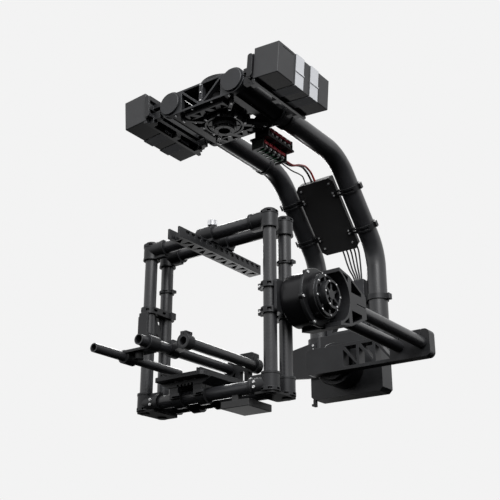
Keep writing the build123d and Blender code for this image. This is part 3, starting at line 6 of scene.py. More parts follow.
import logging
import math
from dataclasses import dataclass, field
from enum import Enum
from typing import Any, Callable, Iterable, Sequence

import bmesh
import bpy
import numpy as np
from mathutils import Matrix, Vector


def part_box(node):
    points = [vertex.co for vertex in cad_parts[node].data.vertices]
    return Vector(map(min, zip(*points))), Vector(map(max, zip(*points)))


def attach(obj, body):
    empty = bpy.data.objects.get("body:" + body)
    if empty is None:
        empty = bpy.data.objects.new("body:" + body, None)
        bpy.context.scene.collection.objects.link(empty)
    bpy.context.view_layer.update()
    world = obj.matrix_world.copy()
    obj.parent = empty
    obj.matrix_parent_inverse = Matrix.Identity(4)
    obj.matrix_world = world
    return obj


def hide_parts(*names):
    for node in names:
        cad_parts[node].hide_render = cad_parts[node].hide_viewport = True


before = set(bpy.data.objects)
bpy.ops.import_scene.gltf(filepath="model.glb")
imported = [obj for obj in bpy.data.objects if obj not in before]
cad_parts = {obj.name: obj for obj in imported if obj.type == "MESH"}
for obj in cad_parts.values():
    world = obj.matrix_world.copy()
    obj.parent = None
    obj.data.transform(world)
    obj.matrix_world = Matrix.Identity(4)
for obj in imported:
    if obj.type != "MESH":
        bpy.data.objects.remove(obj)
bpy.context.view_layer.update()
NODES: dict[str, bpy.types.Object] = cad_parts

MM = 0.001
MERGE_DIST = 1e-6                   # points of a CAD mesh nearer than this are one
SMOOTH_DEG = 35.0                   # edges softer than this are shaded smooth
MOTTLE_RANGE = (0.12, 0.42)         # of the slow variation, from the first colour to the second
EDGE_RANGE = (0.97, 0.80)           # how far the normal turns on an edge that takes the painted highlight and wear colour
HEIGHT_RANGE = (0.3, 0.7)           # of a pattern's height, from glossy to dull
WAVE_LENGTH = 0.314                 # metres between the rings of a wave texture at scale one
log = logging.getLogger("stabilizer")


# ---- colour and node helpers ---------------------------------------------------
def linear(hex_code: str) -> tuple[float, float, float, float]:
    """Turns an sRGB hex colour into linear values.

    Args:
        hex_code: six hex digits, such as "3A3B3D".

    Returns:
        Red, green, blue and an alpha of one, all linear.
    """
    values = []
    for start in (0, 2, 4):
        part = int(hex_code[start:start + 2], 16) / 255
        values.append(part / 12.92 if part <= 0.04045 else ((part + 0.055) / 1.055) ** 2.4)
    return (values[0], values[1], values[2], 1.0)


def add(tree: bpy.types.NodeTree, kind: str, inputs: dict[Any, Any] | None = None,
        settings: dict[str, Any] | None = None) -> bpy.types.Node:
    """Adds one shader node with its settings and links.

    Args:
        tree: the tree that gets the node.
        kind: the node's type name, without the ShaderNode prefix.
        inputs: socket name or index to a value, or to the output socket that feeds it.
        settings: node property to value.

    Returns:
        The new node.
    """
    made = tree.nodes.new("ShaderNode" + kind)
    for key, value in (settings or {}).items():
        setattr(made, key, value)
    for key, value in (inputs or {}).items():
        if isinstance(value, bpy.types.NodeSocket):
            tree.links.new(value, made.inputs[key])
        else:
            made.inputs[key].default_value = value
    return made


# ---- finishes ------------------------------------------------------------------
class Axis(Enum):
    """The axis that a pattern turns or runs about."""

    X = "X"
    Y = "Y"
    Z = "Z"


@dataclass(frozen=True)
class Finish:
    """A surface: its colour, gloss, grain, and edges lightened partly for rub wear and partly as a painted
    highlight.

    The grain is drawn coarser than the real one where that is too fine to show.
    """

    name: str
    colour: str
    fleck: str                      # second colour of the slow variation
    roughness: float = 0.5
    roughness_swing: float = 0.12
    metallic: float = 0.0
    coat: float = 0.0
    sheen: float = 0.0
    grain_mm: float = 1.2
    grain_height_mm: float = 0.03
    cloud_mm: float = 60.0
    edge_mm: float = 1.0
    edge_wear_highlight: str = "7A7B7E"            # colour painted on edges: rub wear and a painted highlight
    # how far the edges turn to that colour, painted highlight and wear together
    wear: float = 0.35

    def pattern(self, tree: bpy.types.NodeTree, place: bpy.types.NodeSocket) -> bpy.types.NodeSocket:
        """Gives the height pattern of the surface, 0 to 1.

        Args:
            tree: the material's node tree.
            place: the coordinates to draw on.

        Returns:
            An output socket with the height.
        """
        grain = add(tree, "TexNoise", {"Vector": place, "Scale": 1 / (self.grain_mm * MM), "Detail": 3.0})
        return grain.outputs[0]

    def build(self) -> bpy.types.Material:
        """Builds the material.

        Returns:
            The finished material.
        """
        material = bpy.data.materials.new(self.name)
        material.use_nodes = True
        tree = material.node_tree
        tree.nodes.clear()
        place = add(tree, "TexCoord").outputs["Object"]
        height = self.pattern(tree, place)
        cloud = add(tree, "TexNoise", {"Vector": place, "Scale": 1 / (self.cloud_mm * MM), "Detail": 4.0})
        mottle = add(tree, "Math", {0: cloud.outputs[0], 1: height}, {"operation": "MULTIPLY"})
        spread = add(tree, "MapRange", {"Value": mottle.outputs[0], "From Min": MOTTLE_RANGE[0],
                                        "From Max": MOTTLE_RANGE[1]})
        tint = add(tree, "Mix", {0: spread.outputs[0], 6: linear(self.colour), 7: linear(self.fleck)},
                   {"data_type": "RGBA"})
        soft = add(tree, "Bevel", {"Radius": self.edge_mm * MM}, {"samples": 4})
        flat = add(tree, "NewGeometry").outputs["Normal"]
        turn = add(tree, "VectorMath", {0: soft.outputs[0], 1: flat}, {"operation": "DOT_PRODUCT"})
        # Edges are mixed towards a lighter colour: partly rub wear, partly a painted highlight for the bright
        # rims that light catches on edges.
        edge = add(tree, "MapRange", {"Value": turn.outputs["Value"], "From Min": EDGE_RANGE[0],
                                      "From Max": EDGE_RANGE[1], "To Max": self.wear})
        wear_and_highlight = add(tree, "Mix", {0: edge.outputs[0], 6: tint.outputs[2], 7: linear(self.edge_wear_highlight)},
                     {"data_type": "RGBA"})
        gloss = add(tree, "MapRange", {"Value": height,
                                       "From Min": HEIGHT_RANGE[0], "From Max": HEIGHT_RANGE[1],
                                       "To Min": self.roughness - self.roughness_swing / 2,
                                       "To Max": self.roughness + self.roughness_swing / 2})
        bump = add(tree, "Bump", {"Height": height, "Distance": self.grain_height_mm * MM,
                                  "Normal": soft.outputs[0]})
        shader = add(tree, "BsdfPrincipled", {
            "Base Color": wear_and_highlight.outputs[2], "Roughness": gloss.outputs[0], "Normal": bump.outputs[0],
            "Metallic": self.metallic, "Coat Weight": self.coat, "Sheen Weight": self.sheen})
        out = add(tree, "OutputMaterial")
        tree.links.new(shader.outputs[0], out.inputs[0])
        return material


@dataclass(frozen=True)
class Turned(Finish):
    """Lathe-turned metal: fine rings about the part's own axis."""

    axis: Axis = Axis.X
    centre: tuple[float, float, float] = (0.0, 0.0, 0.0)
    ring_mm: float = 2.4            # real turning marks are ten times finer

    def pattern(self, tree: bpy.types.NodeTree, place: bpy.types.NodeSocket) -> bpy.types.NodeSocket:
        """Draws the rings, broken up by a little noise.

        Args:
            tree: the material's node tree.
            place: the coordinates to draw on.

        Returns:
            An output socket with the height.
        """
        shift = add(tree, "Mapping", {"Vector": place, "Location": [-c for c in self.centre]})
        rings = add(tree, "TexWave", {"Vector": shift.outputs[0], "Scale": WAVE_LENGTH / (self.ring_mm * MM),
                                      "Distortion": 0.6, "Detail": 2.0},
                    {"wave_type": "RINGS", "rings_direction": self.axis.value})
        return rings.outputs[1]


@dataclass(frozen=True)
class Twill(Finish):
    """Carbon fibre twill: tows 2.2 mm wide crossing at 45 degrees under a matt resin."""

    tow_mm: float = 2.2
    fibre_scale: float = 900.0      # of the noise that stands for single fibres
    fibre_share: float = 0.55

    def pattern(self, tree: bpy.types.NodeTree, place: bpy.types.NodeSocket) -> bpy.types.NodeSocket:
        """Draws two crossing sets of tows.

        Args:
            tree: the material's node tree.
            place: the coordinates to draw on.

        Returns:
            An output socket with the height.
        """
        turned = add(tree, "Mapping", {"Vector": place, "Rotation": [math.radians(45)] * 3})
        weave = add(tree, "TexChecker", {"Vector": turned.outputs[0], "Scale": 1 / (self.tow_mm * MM)})
        fibre = add(tree, "TexNoise", {"Vector": place, "Scale": self.fibre_scale, "Detail": 2.0})
        mixed = add(tree, "Mix", {0: self.fibre_share, 2: weave.outputs[1], 3: fibre.outputs[0]},
                    {"data_type": "FLOAT"})
        return mixed.outputs[0]


@dataclass(frozen=True)
class Webbing(Finish):
    """Woven polyester webbing: ribs along its length and picks across it."""

    rib_mm: float = 2.0
    pick_mm: float = 1.6
    pick_share: float = 0.4

    def pattern(self, tree: bpy.types.NodeTree, place: bpy.types.NodeSocket) -> bpy.types.NodeSocket:
        """Draws ribs that differ along Y, crossed by picks that differ along X and Z.

        Args:
            tree: the material's node tree.
            place: the coordinates to draw on.

        Returns:
            An output socket with the height.
        """
        parts = add(tree, "SeparateXYZ", {0: place})
        along = add(tree, "Math", {0: parts.outputs[0], 1: parts.outputs[2]}, {"operation": "ADD"})
        waves = []
        for source, size in ((parts.outputs[1], self.rib_mm), (along.outputs[0], self.pick_mm)):
            phase = add(tree, "Math", {0: source, 1: 2 * math.pi / (size * MM)}, {"operation": "MULTIPLY"})
            wave = add(tree, "Math", {0: phase.outputs[0]}, {"operation": "SINE"})
            waves.append(add(tree, "MapRange", {"Value": wave.outputs[0], "From Min": -1.0}).outputs[0])
        woven = add(tree, "Mix", {0: self.pick_share, 2: waves[0], 3: waves[1]}, {"data_type": "FLOAT"})
        return woven.outputs[0]


def finishes() -> dict[str, bpy.types.Material]:
    """Builds every finish once.

    Returns:
        Materials by the short name used below.
    """
    gimbal_z = sum(c.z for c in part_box("tilt_motor_can")) / 2
    rows = {
        # Hard-anodised aluminium: a satin, nearly black skin that rubs to grey on its edges; the grey edges
        # are also a painted highlight.
        "anodised": Finish("anodised_aluminium_satin_black", "222224", "2D2E30", roughness=0.42,
                           metallic=0.35),
        # The truss plates are machined and bead blasted, which leaves them a shade lighter.
        # Their edges take a pale grey, strongly: wear and a painted highlight.
        "blasted": Finish("anodised_aluminium_bead_blasted", "2E2F31", "393A3D", roughness=0.5, metallic=0.35,
                          wear=0.6, edge_wear_highlight="A9AAAD"),
        # Turned and anodised motor shells: soft rings of light round the axis.
        # The tilt motor's edges take a mid grey: wear and a painted highlight.
        "motor_tilt": Turned("anodised_aluminium_turned_tilt", "1C1C1E", "2A2B2D", roughness=0.34,
                             metallic=0.45, axis=Axis.X, centre=(0.0, 0.0, gimbal_z),
                             edge_wear_highlight="8E8F92", wear=0.5),
        "motor_roll": Turned("anodised_aluminium_turned_roll", "1C1C1E", "2A2B2D", roughness=0.34,
                             metallic=0.45, axis=Axis.Y, centre=(0.0, 0.0, gimbal_z)),
        "motor_pan": Turned("anodised_aluminium_turned_pan", "1C1C1E", "2A2B2D", roughness=0.34,
                            metallic=0.45, axis=Axis.Z),
        # Roll-wrapped carbon tube, sanded and sealed: dark grey with a broad soft sheen.
        "carbon": Twill("carbon_fibre_twill_matt", "232325", "323336", roughness=0.36, coat=0.15, wear=0.1,
                        grain_height_mm=0.02, edge_mm=0.6),
        # Moulded ABS battery case with a fine spark-eroded grain.
        "battery": Finish("abs_moulded_grained", "2F2F31", "37383A", roughness=0.55, grain_mm=1.5,
                          grain_height_mm=0.04, wear=0.2, edge_wear_highlight="6A6B6E"),
        # Polyester webbing, light grey.
        "webbing": Webbing("polyester_webbing_woven", "CFD0D2", "EDEEEF", roughness=0.85, sheen=0.25,
                           grain_height_mm=0.35, edge_mm=0.4, wear=0.0),
        # Powder-coated sheet metal with a fine orange peel.
        "powder": Finish("powder_coated_steel_textured", "2C2C2D", "353536", roughness=0.6, grain_mm=2.2,
                         grain_height_mm=0.06, wear=0.15),
        # Silicone-jacketed leads: soft, slightly dusty rubber.
        "lead_black": Finish("silicone_rubber_extruded_black", "141415", "222224", roughness=0.55, wear=0.0),
        "lead_red": Finish("silicone_rubber_extruded_red", "8E1513", "B3221D", roughness=0.5, wear=0.0),
        # Moulded rubber feet.
        "rubber": Finish("rubber_moulded_black", "19191A", "242425", roughness=0.75, wear=0.1),
        # Stainless steel screws, bright and slightly scratched, their edges painted white as a highlight and
        # as wear.
        "steel": Finish("stainless_steel_cold_headed", "E6E7E8", "FAFAFA", roughness=0.32, metallic=0.7,
                        edge_wear_highlight="FFFFFF", wear=0.2, grain_height_mm=0.01),
        # Clear-anodised aluminium: the bright knob and the small fittings.
        "clear": Finish("anodised_aluminium_clear", "B9BABD", "D2D3D5", roughness=0.35, metallic=0.8,
                        edge_wear_highlight="F0F0F0"),
        # Glass-epoxy board and moulded terminal blocks.
        "board": Finish("glass_epoxy_board_dark", "1C1F1D", "2B302C", roughness=0.45, grain_mm=3.0),
        "mask": Finish("solder_mask_green_gloss", "14502F", "1E6B41", roughness=0.3, grain_mm=3.0, wear=0.0),
        # Moulded nylon: red terminal strips, pale fuse bodies and the straps' black bars.
        "nylon_red": Finish("nylon_moulded_red", "A01F2A", "C23441", roughness=0.45, wear=0.1),
        "nylon_pale": Finish("nylon_moulded_pale_grey", "B4B5B6", "D2D3D4", roughness=0.5, wear=0.1),
        "nylon_black": Finish("nylon_moulded_black", "101011", "1B1B1C", roughness=0.45, wear=0.1),
    }
    return {key: row.build() for key, row in rows.items()}


# ---- shaping helpers -----------------------------------------------------------
def only(obj: bpy.types.Object) -> None:
    """Makes one object the only selected and active one."""
    bpy.ops.object.select_all(action="DESELECT")
    obj.select_set(True)
    bpy.context.view_layer.objects.active = obj


def settle(obj: bpy.types.Object) -> None:
    """Puts an object's place, turn and scale into its mesh."""
    only(obj)
    bpy.ops.object.transform_apply(location=True, rotation=True, scale=True)


def block(name: str, size: Sequence[float], centre: Sequence[float]) -> bpy.types.Object:
    """Starts a piece from a cube primitive.

    Args:
        name: the object's name.
        size: its three sizes.
        centre: its middle.

    Returns:
        The object, with its place in its mesh.
    """
    bpy.ops.object.select_all(action="DESELECT")
    bpy.ops.mesh.primitive_cube_add(size=1.0, location=centre)
    made = bpy.context.object
    made.name = name
    made.scale = size
    settle(made)
    return made


def drum(name: str, radius: float, depth: float, sides: int = 24) -> bpy.types.Object:
    """Starts a piece from a cylinder primitive that stands on the origin, along Z.

    Args:
        name: the object's name.
        radius: its radius.
        depth: its height.
        sides: how many sides it has.

    Returns:
        The object.
    """
    bpy.ops.object.select_all(action="DESELECT")
    bpy.ops.mesh.primitive_cylinder_add(vertices=sides, radius=radius, depth=depth,
                                        location=(0, 0, depth / 2))
    made = bpy.context.object
    made.name = name
    settle(made)
    return made


def pick_faces(obj: bpy.types.Object, test: Callable[[bpy.types.MeshPolygon], bool]) -> None:
    """Selects the faces that pass a test and enters edit mode.

    Args:
        obj: the object.
        test: says whether a face is chosen.
    """
    only(obj)
    bpy.ops.object.mode_set(mode="EDIT")
    bpy.ops.mesh.select_mode(type="FACE")
    bpy.ops.mesh.select_all(action="DESELECT")
    bpy.ops.object.mode_set(mode="OBJECT")
    for face in obj.data.polygons:
        face.select = test(face)
    bpy.ops.object.mode_set(mode="EDIT")


def leave_edit() -> None:
    """Goes back to object mode."""
    bpy.ops.object.mode_set(mode="OBJECT")


def modify(obj: bpy.types.Object, kind: str, **settings: Any) -> None:
    """Adds a modifier and applies it.

    Args:
        obj: the object.
        kind: the modifier's type.
        settings: its properties.
    """
    only(obj)
    step = obj.modifiers.new(kind.lower(), kind)
    for key, value in settings.items():
        setattr(step, key, value)
    bpy.ops.object.modifier_apply(modifier=step.name)


def soften(obj: bpy.types.Object, width_mm: float, segments: int = 2) -> None:
    """Rounds an object's edges and smooths its shading.

    Args:
        obj: the object.
        width_mm: the rounding's width.
        segments: how many steps it has.
    """
    modify(obj, "BEVEL", width=width_mm * MM, segments=segments, limit_method="ANGLE")
    only(obj)
    bpy.ops.object.shade_smooth_by_angle(angle=math.radians(SMOOTH_DEG))


def copies(model: bpy.types.Object, name: str, places: Iterable[Matrix]) -> bpy.types.Object:
    """Copies a model to many places as one piece, each copy with its own mesh.

    Args:
        model: the object to copy; it is removed.
        name: the piece's name.
        places: one matrix for each copy.

    Returns:
        The joined piece.
    """
    made = []
    for place in places:
        mesh = model.data.copy()
        mesh.transform(place)
        twin = bpy.data.objects.new(name, mesh)
        bpy.context.scene.collection.objects.link(twin)
        made.append(twin)
    bpy.data.objects.remove(model)
    return join(made, name)


def join(parts: Sequence[bpy.types.Object], name: str) -> bpy.types.Object:
    """Joins objects into one piece.

    Args:
        parts: the objects.
        name: the piece's name.

    Returns:
        The piece.
    """
    only(parts[0])
    for part in parts:
        part.select_set(True)
    if len(parts) > 1:
        bpy.ops.object.join()
    parts[0].name = name
    return parts[0]


def islands(node: str) -> list[np.ndarray]:
    """Finds the separate solids of a CAD node.

    Args:
        node: the node's name.

    Returns:
        The points of each solid.
    """
    shape = bmesh.new()
    shape.from_mesh(NODES[node].data)
    bmesh.ops.remove_doubles(shape, verts=shape.verts, dist=MERGE_DIST)
    shape.verts.ensure_lookup_table()
    seen: set[int] = set()
    found = []
    for start in shape.verts:
        if start.index in seen:
            continue
        seen.add(start.index)
        queue = [start]
        points = []
        while queue:
            here = queue.pop()
            points.append(tuple(here.co))
            for link in here.link_edges:
                other = link.other_vert(here)
                if other.index not in seen:
                    seen.add(other.index)
                    queue.append(other)
        found.append(np.array(points))
    shape.free()
    return found


@dataclass
class Piece:
    """What every sub-assembly shares: the finishes and a way to place a piece."""

    skins: dict[str, bpy.types.Material]

    def wear(self, obj: bpy.types.Object, skin: str, body: str, slot: str,
             stands_for: Sequence[str] = ()) -> bpy.types.Object:
        """Gives a new piece its material and body, and hides the nodes that it stands for.

        Args:
            obj: the piece.
            skin: the finish's short name.
            body: the CAD body it rides on.
            slot: the record's material slot; not used.
            stands_for: CAD nodes it replaces.

        Returns:
            The piece.
        """
        obj.data.materials.clear()
        obj.data.materials.append(self.skins[skin])
        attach(obj, body)
        if stands_for:
            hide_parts(*stands_for)
        log.info("piece %s rides on %s", obj.name, body)
        return obj

    def dress(self, skin: str, *nodes: str) -> None:
        """Gives CAD nodes a finish.

        Args:
            skin: the finish's short name.
            nodes: the nodes.
        """
        for node in nodes:
            mesh = NODES[node].data
            for index in range(max(1, len(mesh.materials))):
                if len(mesh.materials) == 0:
                    mesh.materials.append(self.skins[skin])
                else:
                    mesh.materials[index] = self.skins[skin]
            log.info("node %s is %s", node, skin)


# ---- screws --------------------------------------------------------------------
@dataclass
class Screws(Piece):
    """Socket-head screws: one is modelled and copied onto every CAD head."""

    sides: int = 12
    rim: float = 0.22               # these four are shares of a head of radius and height one
    socket_in: float = 0.22
    socket_deep: float = 0.55
    socket_reach: float = 0.62
    smooth_deg: float = 40.0
    outward: tuple[float, float, float] = (1.0, -1.0, -1.0)   # every head faces right, front or down
    groups: dict[str, str] = field(default_factory=lambda: {
        "hub_screws": "pan", "rear_screws": "pan", "tilt_screws": "roll", "cage_screws": "cage"})

    def model(self) -> bpy.types.Object:
        """Models a head of radius one and height one: rounded rim and a hexagon socket.

        Returns:
            The head, standing on the origin along Z.
        """
        head = drum("screw", 1.0, 1.0, self.sides)
        pick_faces(head, lambda face: face.normal.z > 0.9)
        bpy.ops.mesh.bevel(offset=self.rim, segments=2, affect="EDGES")
        leave_edit()
        pick_faces(head, lambda face: face.normal.z > 0.99)
        bpy.ops.mesh.inset(thickness=self.socket_in)
        bpy.ops.mesh.extrude_region_move(TRANSFORM_OT_translate={"value": (0, 0, -self.socket_deep)})
        leave_edit()
        floor = 1 - self.socket_deep
        inner = [v for v in head.data.vertices if abs(v.co.z - floor) < 0.01 or (
            v.co.z > 0.99 and v.co.xy.length < self.socket_reach)]
        for point in inner:
            turn = math.degrees(math.atan2(point.co.y, point.co.x)) % 60
            if 20 < turn < 40:
                point.co.xy *= math.cos(math.radians(30))
        return head

    def place(self, points: np.ndarray) -> Matrix:
        """Works out where a head goes from its CAD solid.

        Args:
            points: the solid's points.

        Returns:
            The matrix that carries the unit head there.
        """
        middle = points.mean(0)
        spread = points - middle
        values, vectors = np.linalg.eigh(spread.T @ spread)
        axis = Vector(vectors[:, 0])
        if axis.dot(Vector(self.outward)) < 0:
            axis.negate()
        along = spread @ np.array(axis)
        radius = np.linalg.norm(spread - np.outer(along, np.array(axis)), axis=1).max()
        height = along.max() - along.min()
        foot = Vector(middle) - axis * height / 2
        turn = axis.to_track_quat("Z", "Y").to_matrix().to_4x4()
        return Matrix.Translation(foot) @ turn @ Matrix.Diagonal((radius, radius, height, 1.0))

    def build(self) -> None:
        """Makes one piece for each CAD group of screws."""
        for node, body in self.groups.items():
            piece = copies(self.model(), node.replace("_screws", "_socket_screws"),
                           [self.place(points) for points in islands(node)])
            only(piece)
            bpy.ops.object.shade_smooth_by_angle(angle=math.radians(self.smooth_deg))
            self.wear(piece, "steel", body, "steel_screw", (node,))


# ---- batteries -----------------------------------------------------------------
@dataclass
class Batteries(Piece):
    """The two side batteries with their webbing straps."""

    droop: float = 4.4              # degrees, outer side down
    thickness_mm: float = 1.3
    corner_mm: float = 3.5
    buckle_mm: float = 2.4          # room for the buckle inside the CAD band
    side_gap_mm: float = 2.0        # the band is this much narrower than the CAD band
    lap_mm: float = 1.2
    lap_out_mm: float = 0.3         # a lap's middle stands this far out of the band
    lap_round_mm: float = 0.3
    lap_width: float = 0.97         # share of the band's width
    lap_height: float = 0.94        # this and the next three are shares of half the band's height
    lap_rise: float = 0.5
    tail_height: float = 0.32
    tail_drop: float = 0.22
    bar_mm: float = 2.2
    bar_over_mm: float = 2.4        # a bar is this much wider than the band
    bar_round_mm: float = 0.5
    min_points: int = 40            # a CAD solid with fewer points gets no modelled strap
    bar_drops: tuple[float, ...] = (0.0, 0.44)          # below the middle, in half heights
    bar_heights_mm: tuple[float, ...] = (4.0, 2.2)

    def strap(self, points: np.ndarray, side: int, index: int) -> bpy.types.Object:
        """Models one strap: a band with soft corners, a stitched overlap and a ladder lock of two bars.

        Args:
            points: the CAD band's points.
            side: -1 for the left battery, 1 for the right.
            index: the strap's number on its battery.

        Returns:
            The strap, in place.
        """
        turn = Matrix.Rotation(math.radians(side * self.droop), 4, "Y")
        local = np.array([turn.inverted() @ Vector(p) for p in points])
        low, high = local.min(0), local.max(0)
        buckle = self.buckle_mm * MM
        low[0] += buckle if side < 0 else 0.0
        high[0] -= buckle if side > 0 else 0.0
        middle = (low + high) / 2
        size = high - low
        size[1] -= self.side_gap_mm * MM
        name = f"strap_{'left' if side < 0 else 'right'}_{index}"
        band = block(name, size, middle)
        pick_faces(band, lambda face: abs(face.normal.y) > 0.9)
        bpy.ops.mesh.delete(type="FACE")
        leave_edit()
        modify(band, "BEVEL", width=self.corner_mm * MM, segments=4, limit_method="ANGLE")
        modify(band, "SOLIDIFY", thickness=self.thickness_mm * MM, offset=-1.0)
        outer = high[0] if side > 0 else low[0]
        half = size[2] / 2
        face = outer + side * self.lap_out_mm * MM
        lap = block("lap", (self.lap_mm * MM, size[1] * self.lap_width, half * self.lap_height),
                    (face, middle[1], middle[2] + half * self.lap_rise))
        soften(lap, self.lap_round_mm)
        tail = block("tail", (self.lap_mm * MM, size[1] * self.lap_width, half * self.tail_height),
                     (face, middle[1], middle[2] - half * self.tail_drop))
        soften(tail, self.lap_round_mm)
        bars = []
        for drop, height in zip(self.bar_drops, self.bar_heights_mm):
            bar = block("bar", (self.bar_mm * MM, size[1] + self.bar_over_mm * MM, height * MM),
                        (outer + side * (self.bar_mm / 2) * MM, middle[1], middle[2] - half * drop))
            soften(bar, self.bar_round_mm)
            bars.append(bar)
        for part in (band, lap, tail, *bars):
            part.data.transform(turn)
        self.wear(join(bars, name + "_bars"), "nylon_black", "pan", "black_anodised")
        return join([band, lap, tail], name)

    def build(self) -> None:
        """Dresses the cases and makes the four straps and their buckles."""
        self.dress("battery", "battery_left", "battery_right")
        made = []
        for points in islands("battery_straps"):
            if len(points) < self.min_points:
                continue
            side = 1 if points[:, 0].mean() > 0 else -1
            made.append((side, points[:, 1].mean(), points))
        for index, (side, _, points) in enumerate(sorted(made, key=lambda row: (row[0], row[1]))):
            piece = self.strap(points, side, index % 2 + 1)
            self.wear(piece, "webbing", "pan", "strap", ("battery_straps",))


# ---- power modules ---------------------------------------------------------------
@dataclass
class Modules(Piece):
    """The small parts on the two open power modules."""

    strip_mm: float = 5.0           # thickness of the terminal strip
    bays: int = 5
    skin_mm: float = 0.8            # how far a part stands out of its board
    inset_mm: float = 7.0           # from a row's ends to the board's
    top_mm: float = 2.0             # from the board's top down to the terminals
    terminal_mm: float = 9.0        # height of a terminal
    rear_mm: float = 8.0
    fuse_mm: tuple[float, float] = (4.0, 10.0)          # above the board's underside
    under_mm: float = 2.0
    terminal_share: float = 0.86    # of its bay, as are the next three
    rear_share: float = 0.8
    fuse_share: float = 0.34
    under_share: float = 0.3
    round_mm: float = 0.5

    def row(self, name: str, low: Vector, high: Vector, share: float) -> bpy.types.Object:
        """Models a row of rounded bodies along Y between two corners.

        Args:
            name: the piece's name.
            low: the row's low corner.
            high: its high corner.
            share: how much of each bay a body fills.

        Returns:
            The row as one piece.
        """
        pitch = (high.y - low.y) / self.bays
        size = (high.x - low.x, pitch * share, high.z - low.z)
        parts = []
        for bay in range(self.bays):
            centre = ((low.x + high.x) / 2, low.y + pitch * (bay + 0.5), (low.z + high.z) / 2)
            part = block(name, size, centre)
            soften(part, self.round_mm)
            parts.append(part)
        return join(parts, name)

    def build(self) -> None:
        """Puts a red terminal strip, pale fuses and a green board edge on each module."""
        self.dress("board", "power_module_upper", "power_module_lower")
        for node in ("power_module_upper", "power_module_lower"):
            low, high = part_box(node)
            low, high = Vector(low), Vector(high)
            out = self.skin_mm * MM
            inset = self.inset_mm * MM
            strip = self.strip_mm * MM
            top = high.z - self.top_mm * MM
            red = self.row(f"{node}_terminals",
                           Vector((high.x - strip, low.y + inset, top - self.terminal_mm * MM)),
                           Vector((high.x + out, high.y - inset, top)), self.terminal_share)
            self.wear(red, "nylon_red", "pan", "module_black")
            far = self.row(f"{node}_rear_terminals",
                           Vector((low.x + strip, high.y - strip, top - self.rear_mm * MM)),
                           Vector((high.x - strip, high.y + out, top)), self.rear_share)
            self.wear(far, "nylon_red", "pan", "module_black")
            fuses = self.row(f"{node}_fuses",
                             Vector((high.x - strip, low.y + inset, low.z + self.fuse_mm[0] * MM)),
                             Vector((high.x + out, high.y - inset, low.z + self.fuse_mm[1] * MM)),
                             self.fuse_share)
            self.wear(fuses, "nylon_pale", "pan", "module_black")
            under = self.row(f"{node}_under", Vector((low.x + inset, low.y + inset, low.z - out)),
                             Vector((high.x - inset, high.y - inset, low.z + self.under_mm * MM)),
                             self.under_share)
            self.wear(under, "mask", "pan", "module_black")


# ---- the rest of the nodes ---------------------------------------------------------
@dataclass
class Structure(Piece):
    """The finishes of the CAD nodes that are shown as they are."""

    def build(self) -> None:
        """Dresses every node that keeps its own shape."""
        self.dress("blasted", "front_bulkhead", "rear_bulkhead", "arm_end_caps", "roll_upright")
        self.dress("anodised", "top_mount_plate", "pan_shaft", "hub_top_plate", "hub_lower_plate",
                   "tray_left", "tray_right", "module_bracket", "box_clamps", "roll_housing",
                   "arm_collars", "accessory_plate", "roll_output_hub", "roll_beam",
                   "tilt_motor_base", "tilt_rotor_plate", "corners", "post_rings", "left_bracket",
                   "rail_carrier", "camera_base", "top_rail", "rail_knob_rear", "camera_plate",
                   "rod_hanger", "rod_front_clamp", "rod_bridge", "bridge_lever")
        self.dress("carbon", "arm_left", "arm_right", "twin_tubes", "posts", "crossbars",
                   "upper_rods", "rod_low")
        self.dress("motor_pan", "pan_motor_can")
        self.dress("motor_roll", "roll_motor_can")
        self.dress("motor_tilt", "tilt_motor_can", "tilt_motor_cap")
        self.dress("powder", "electronics_box", "electronics_cover", "receiver_box")
        self.dress("rubber", "cage_feet")
        self.dress("clear", "rail_knob_front")
        self.dress("lead_black", "lead_power_black", "lead_signal", "motor_leads")
        self.dress("lead_red", "lead_power_red")


# ---- studio --------------------------------------------------------------------
@dataclass(frozen=True)
class Lamp:
    """One square soft light."""

    name: str
    place: tuple[float, float, float]
    aim: tuple[float, float, float]
    size: float                     # side, in metres
    power: float                    # watts
    hidden: bool = False            # kept out of the camera's sight by name


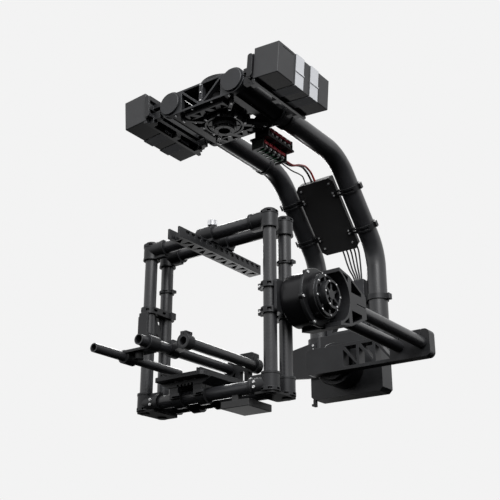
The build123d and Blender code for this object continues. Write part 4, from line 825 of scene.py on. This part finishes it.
@dataclass
class Studio:
    """Camera, soft lights, pale surroundings and floor."""

    eye: tuple[float, float, float] = (1.2816, -1.6525, -1.2838)
    azimuth: float = 36.02
    rise: float = 21.65             # degrees that the camera looks up
    lens: float = 67.39
    sensor: float = 36.0
    floor_z: float = -1.40
    floor_size: float = 60.0
    sky: str = "F3F3F3"
    ground: str = "121212"
    horizon: tuple[float, float] = (-0.12, 0.04)        # heights between which ground turns to sky
    lamps: tuple[Lamp, ...] = (
        Lamp("key", (2.4, -2.2, 2.2), (0, 0, -0.4), 2.2, 160.0),
        Lamp("rim", (-2.2, 2.6, 1.8), (0, 0.2, -0.4), 2.0, 90.0),
        Lamp("glint", (-1.64, 2.26, -1.21), (0, 0, -0.1), 0.35, 5.0, hidden=True))

    def camera(self) -> None:
        """Sets up the camera, level and looking up at the object."""
        data = bpy.data.cameras.new("camera")
        data.lens = self.lens
        data.sensor_width = self.sensor
        data.clip_end = 100.0
        lens = bpy.data.objects.new("camera", data)
        turn, rise = math.radians(self.azimuth), math.radians(self.rise)
        look = Vector((-math.sin(turn) * math.cos(rise), math.cos(turn) * math.cos(rise), math.sin(rise)))
        lens.location = self.eye
        lens.rotation_euler = look.to_track_quat("-Z", "Y").to_euler()
        bpy.context.scene.collection.objects.link(lens)
        bpy.context.scene.camera = lens

    def lamp(self, row: Lamp) -> None:
        """Adds one square soft light.

        Args:
            row: the light's name, place, aim, size and power.
        """
        data = bpy.data.lights.new(row.name, "AREA")
        data.size = row.size
        data.energy = row.power
        lamp = bpy.data.objects.new(row.name, data)
        lamp.location = row.place
        lamp.rotation_euler = (Vector(row.aim) - Vector(row.place)).to_track_quat("-Z", "Y").to_euler()
        if row.hidden:
            lamp.visible_camera = False
        bpy.context.scene.collection.objects.link(lamp)

    def surroundings(self) -> None:
        """Pale all round above the horizon and darker below it, as over a studio floor."""
        world = bpy.data.worlds.new("studio")
        bpy.context.scene.world = world
        world.use_nodes = True
        tree = world.node_tree
        tree.nodes.clear()
        parts = add(tree, "SeparateXYZ", {0: add(tree, "TexCoord").outputs["Generated"]})
        level = add(tree, "MapRange", {"Value": parts.outputs[2], "From Min": self.horizon[0],
                                       "From Max": self.horizon[1]})
        shade = add(tree, "Mix", {0: level.outputs[0], 6: linear(self.ground), 7: linear(self.sky)},
                    {"data_type": "RGBA"})
        glow = add(tree, "Background", {"Color": shade.outputs[2], "Strength": 1.0})
        out = add(tree, "OutputWorld")
        tree.links.new(glow.outputs[0], out.inputs[0])

    def floor(self, skin: bpy.types.Material) -> None:
        """Lays the plain pale floor.

        Args:
            skin: the floor's material.
        """
        bpy.ops.object.select_all(action="DESELECT")
        bpy.ops.mesh.primitive_plane_add(size=self.floor_size, location=(0, 0, self.floor_z))
        plane = bpy.context.object
        plane.name = "floor"
        plane.data.materials.append(skin)
        plane.visible_diffuse = False
        plane.visible_glossy = False

    def build(self) -> None:
        """Sets up everything that isn't the object."""
        self.camera()
        self.surroundings()
        for row in self.lamps:
            self.lamp(row)
        pale = Finish("painted_floor_matt", "DADADA", "E4E4E4", roughness=0.8, wear=0.0, cloud_mm=900.0)
        self.floor(pale.build())
        bpy.context.scene.view_settings.view_transform = "Standard"


def main() -> None:
    """Builds the studio and the pieces in order."""
    logging.basicConfig(level=logging.INFO, format="%(message)s")
    Studio().build()
    skins = finishes()
    for section in (Structure, Batteries, Modules, Screws):
        log.info("building %s", section.__name__)
        section(skins).build()
    bpy.ops.object.select_all(action="DESELECT")


if __name__ == "__main__":
    main()
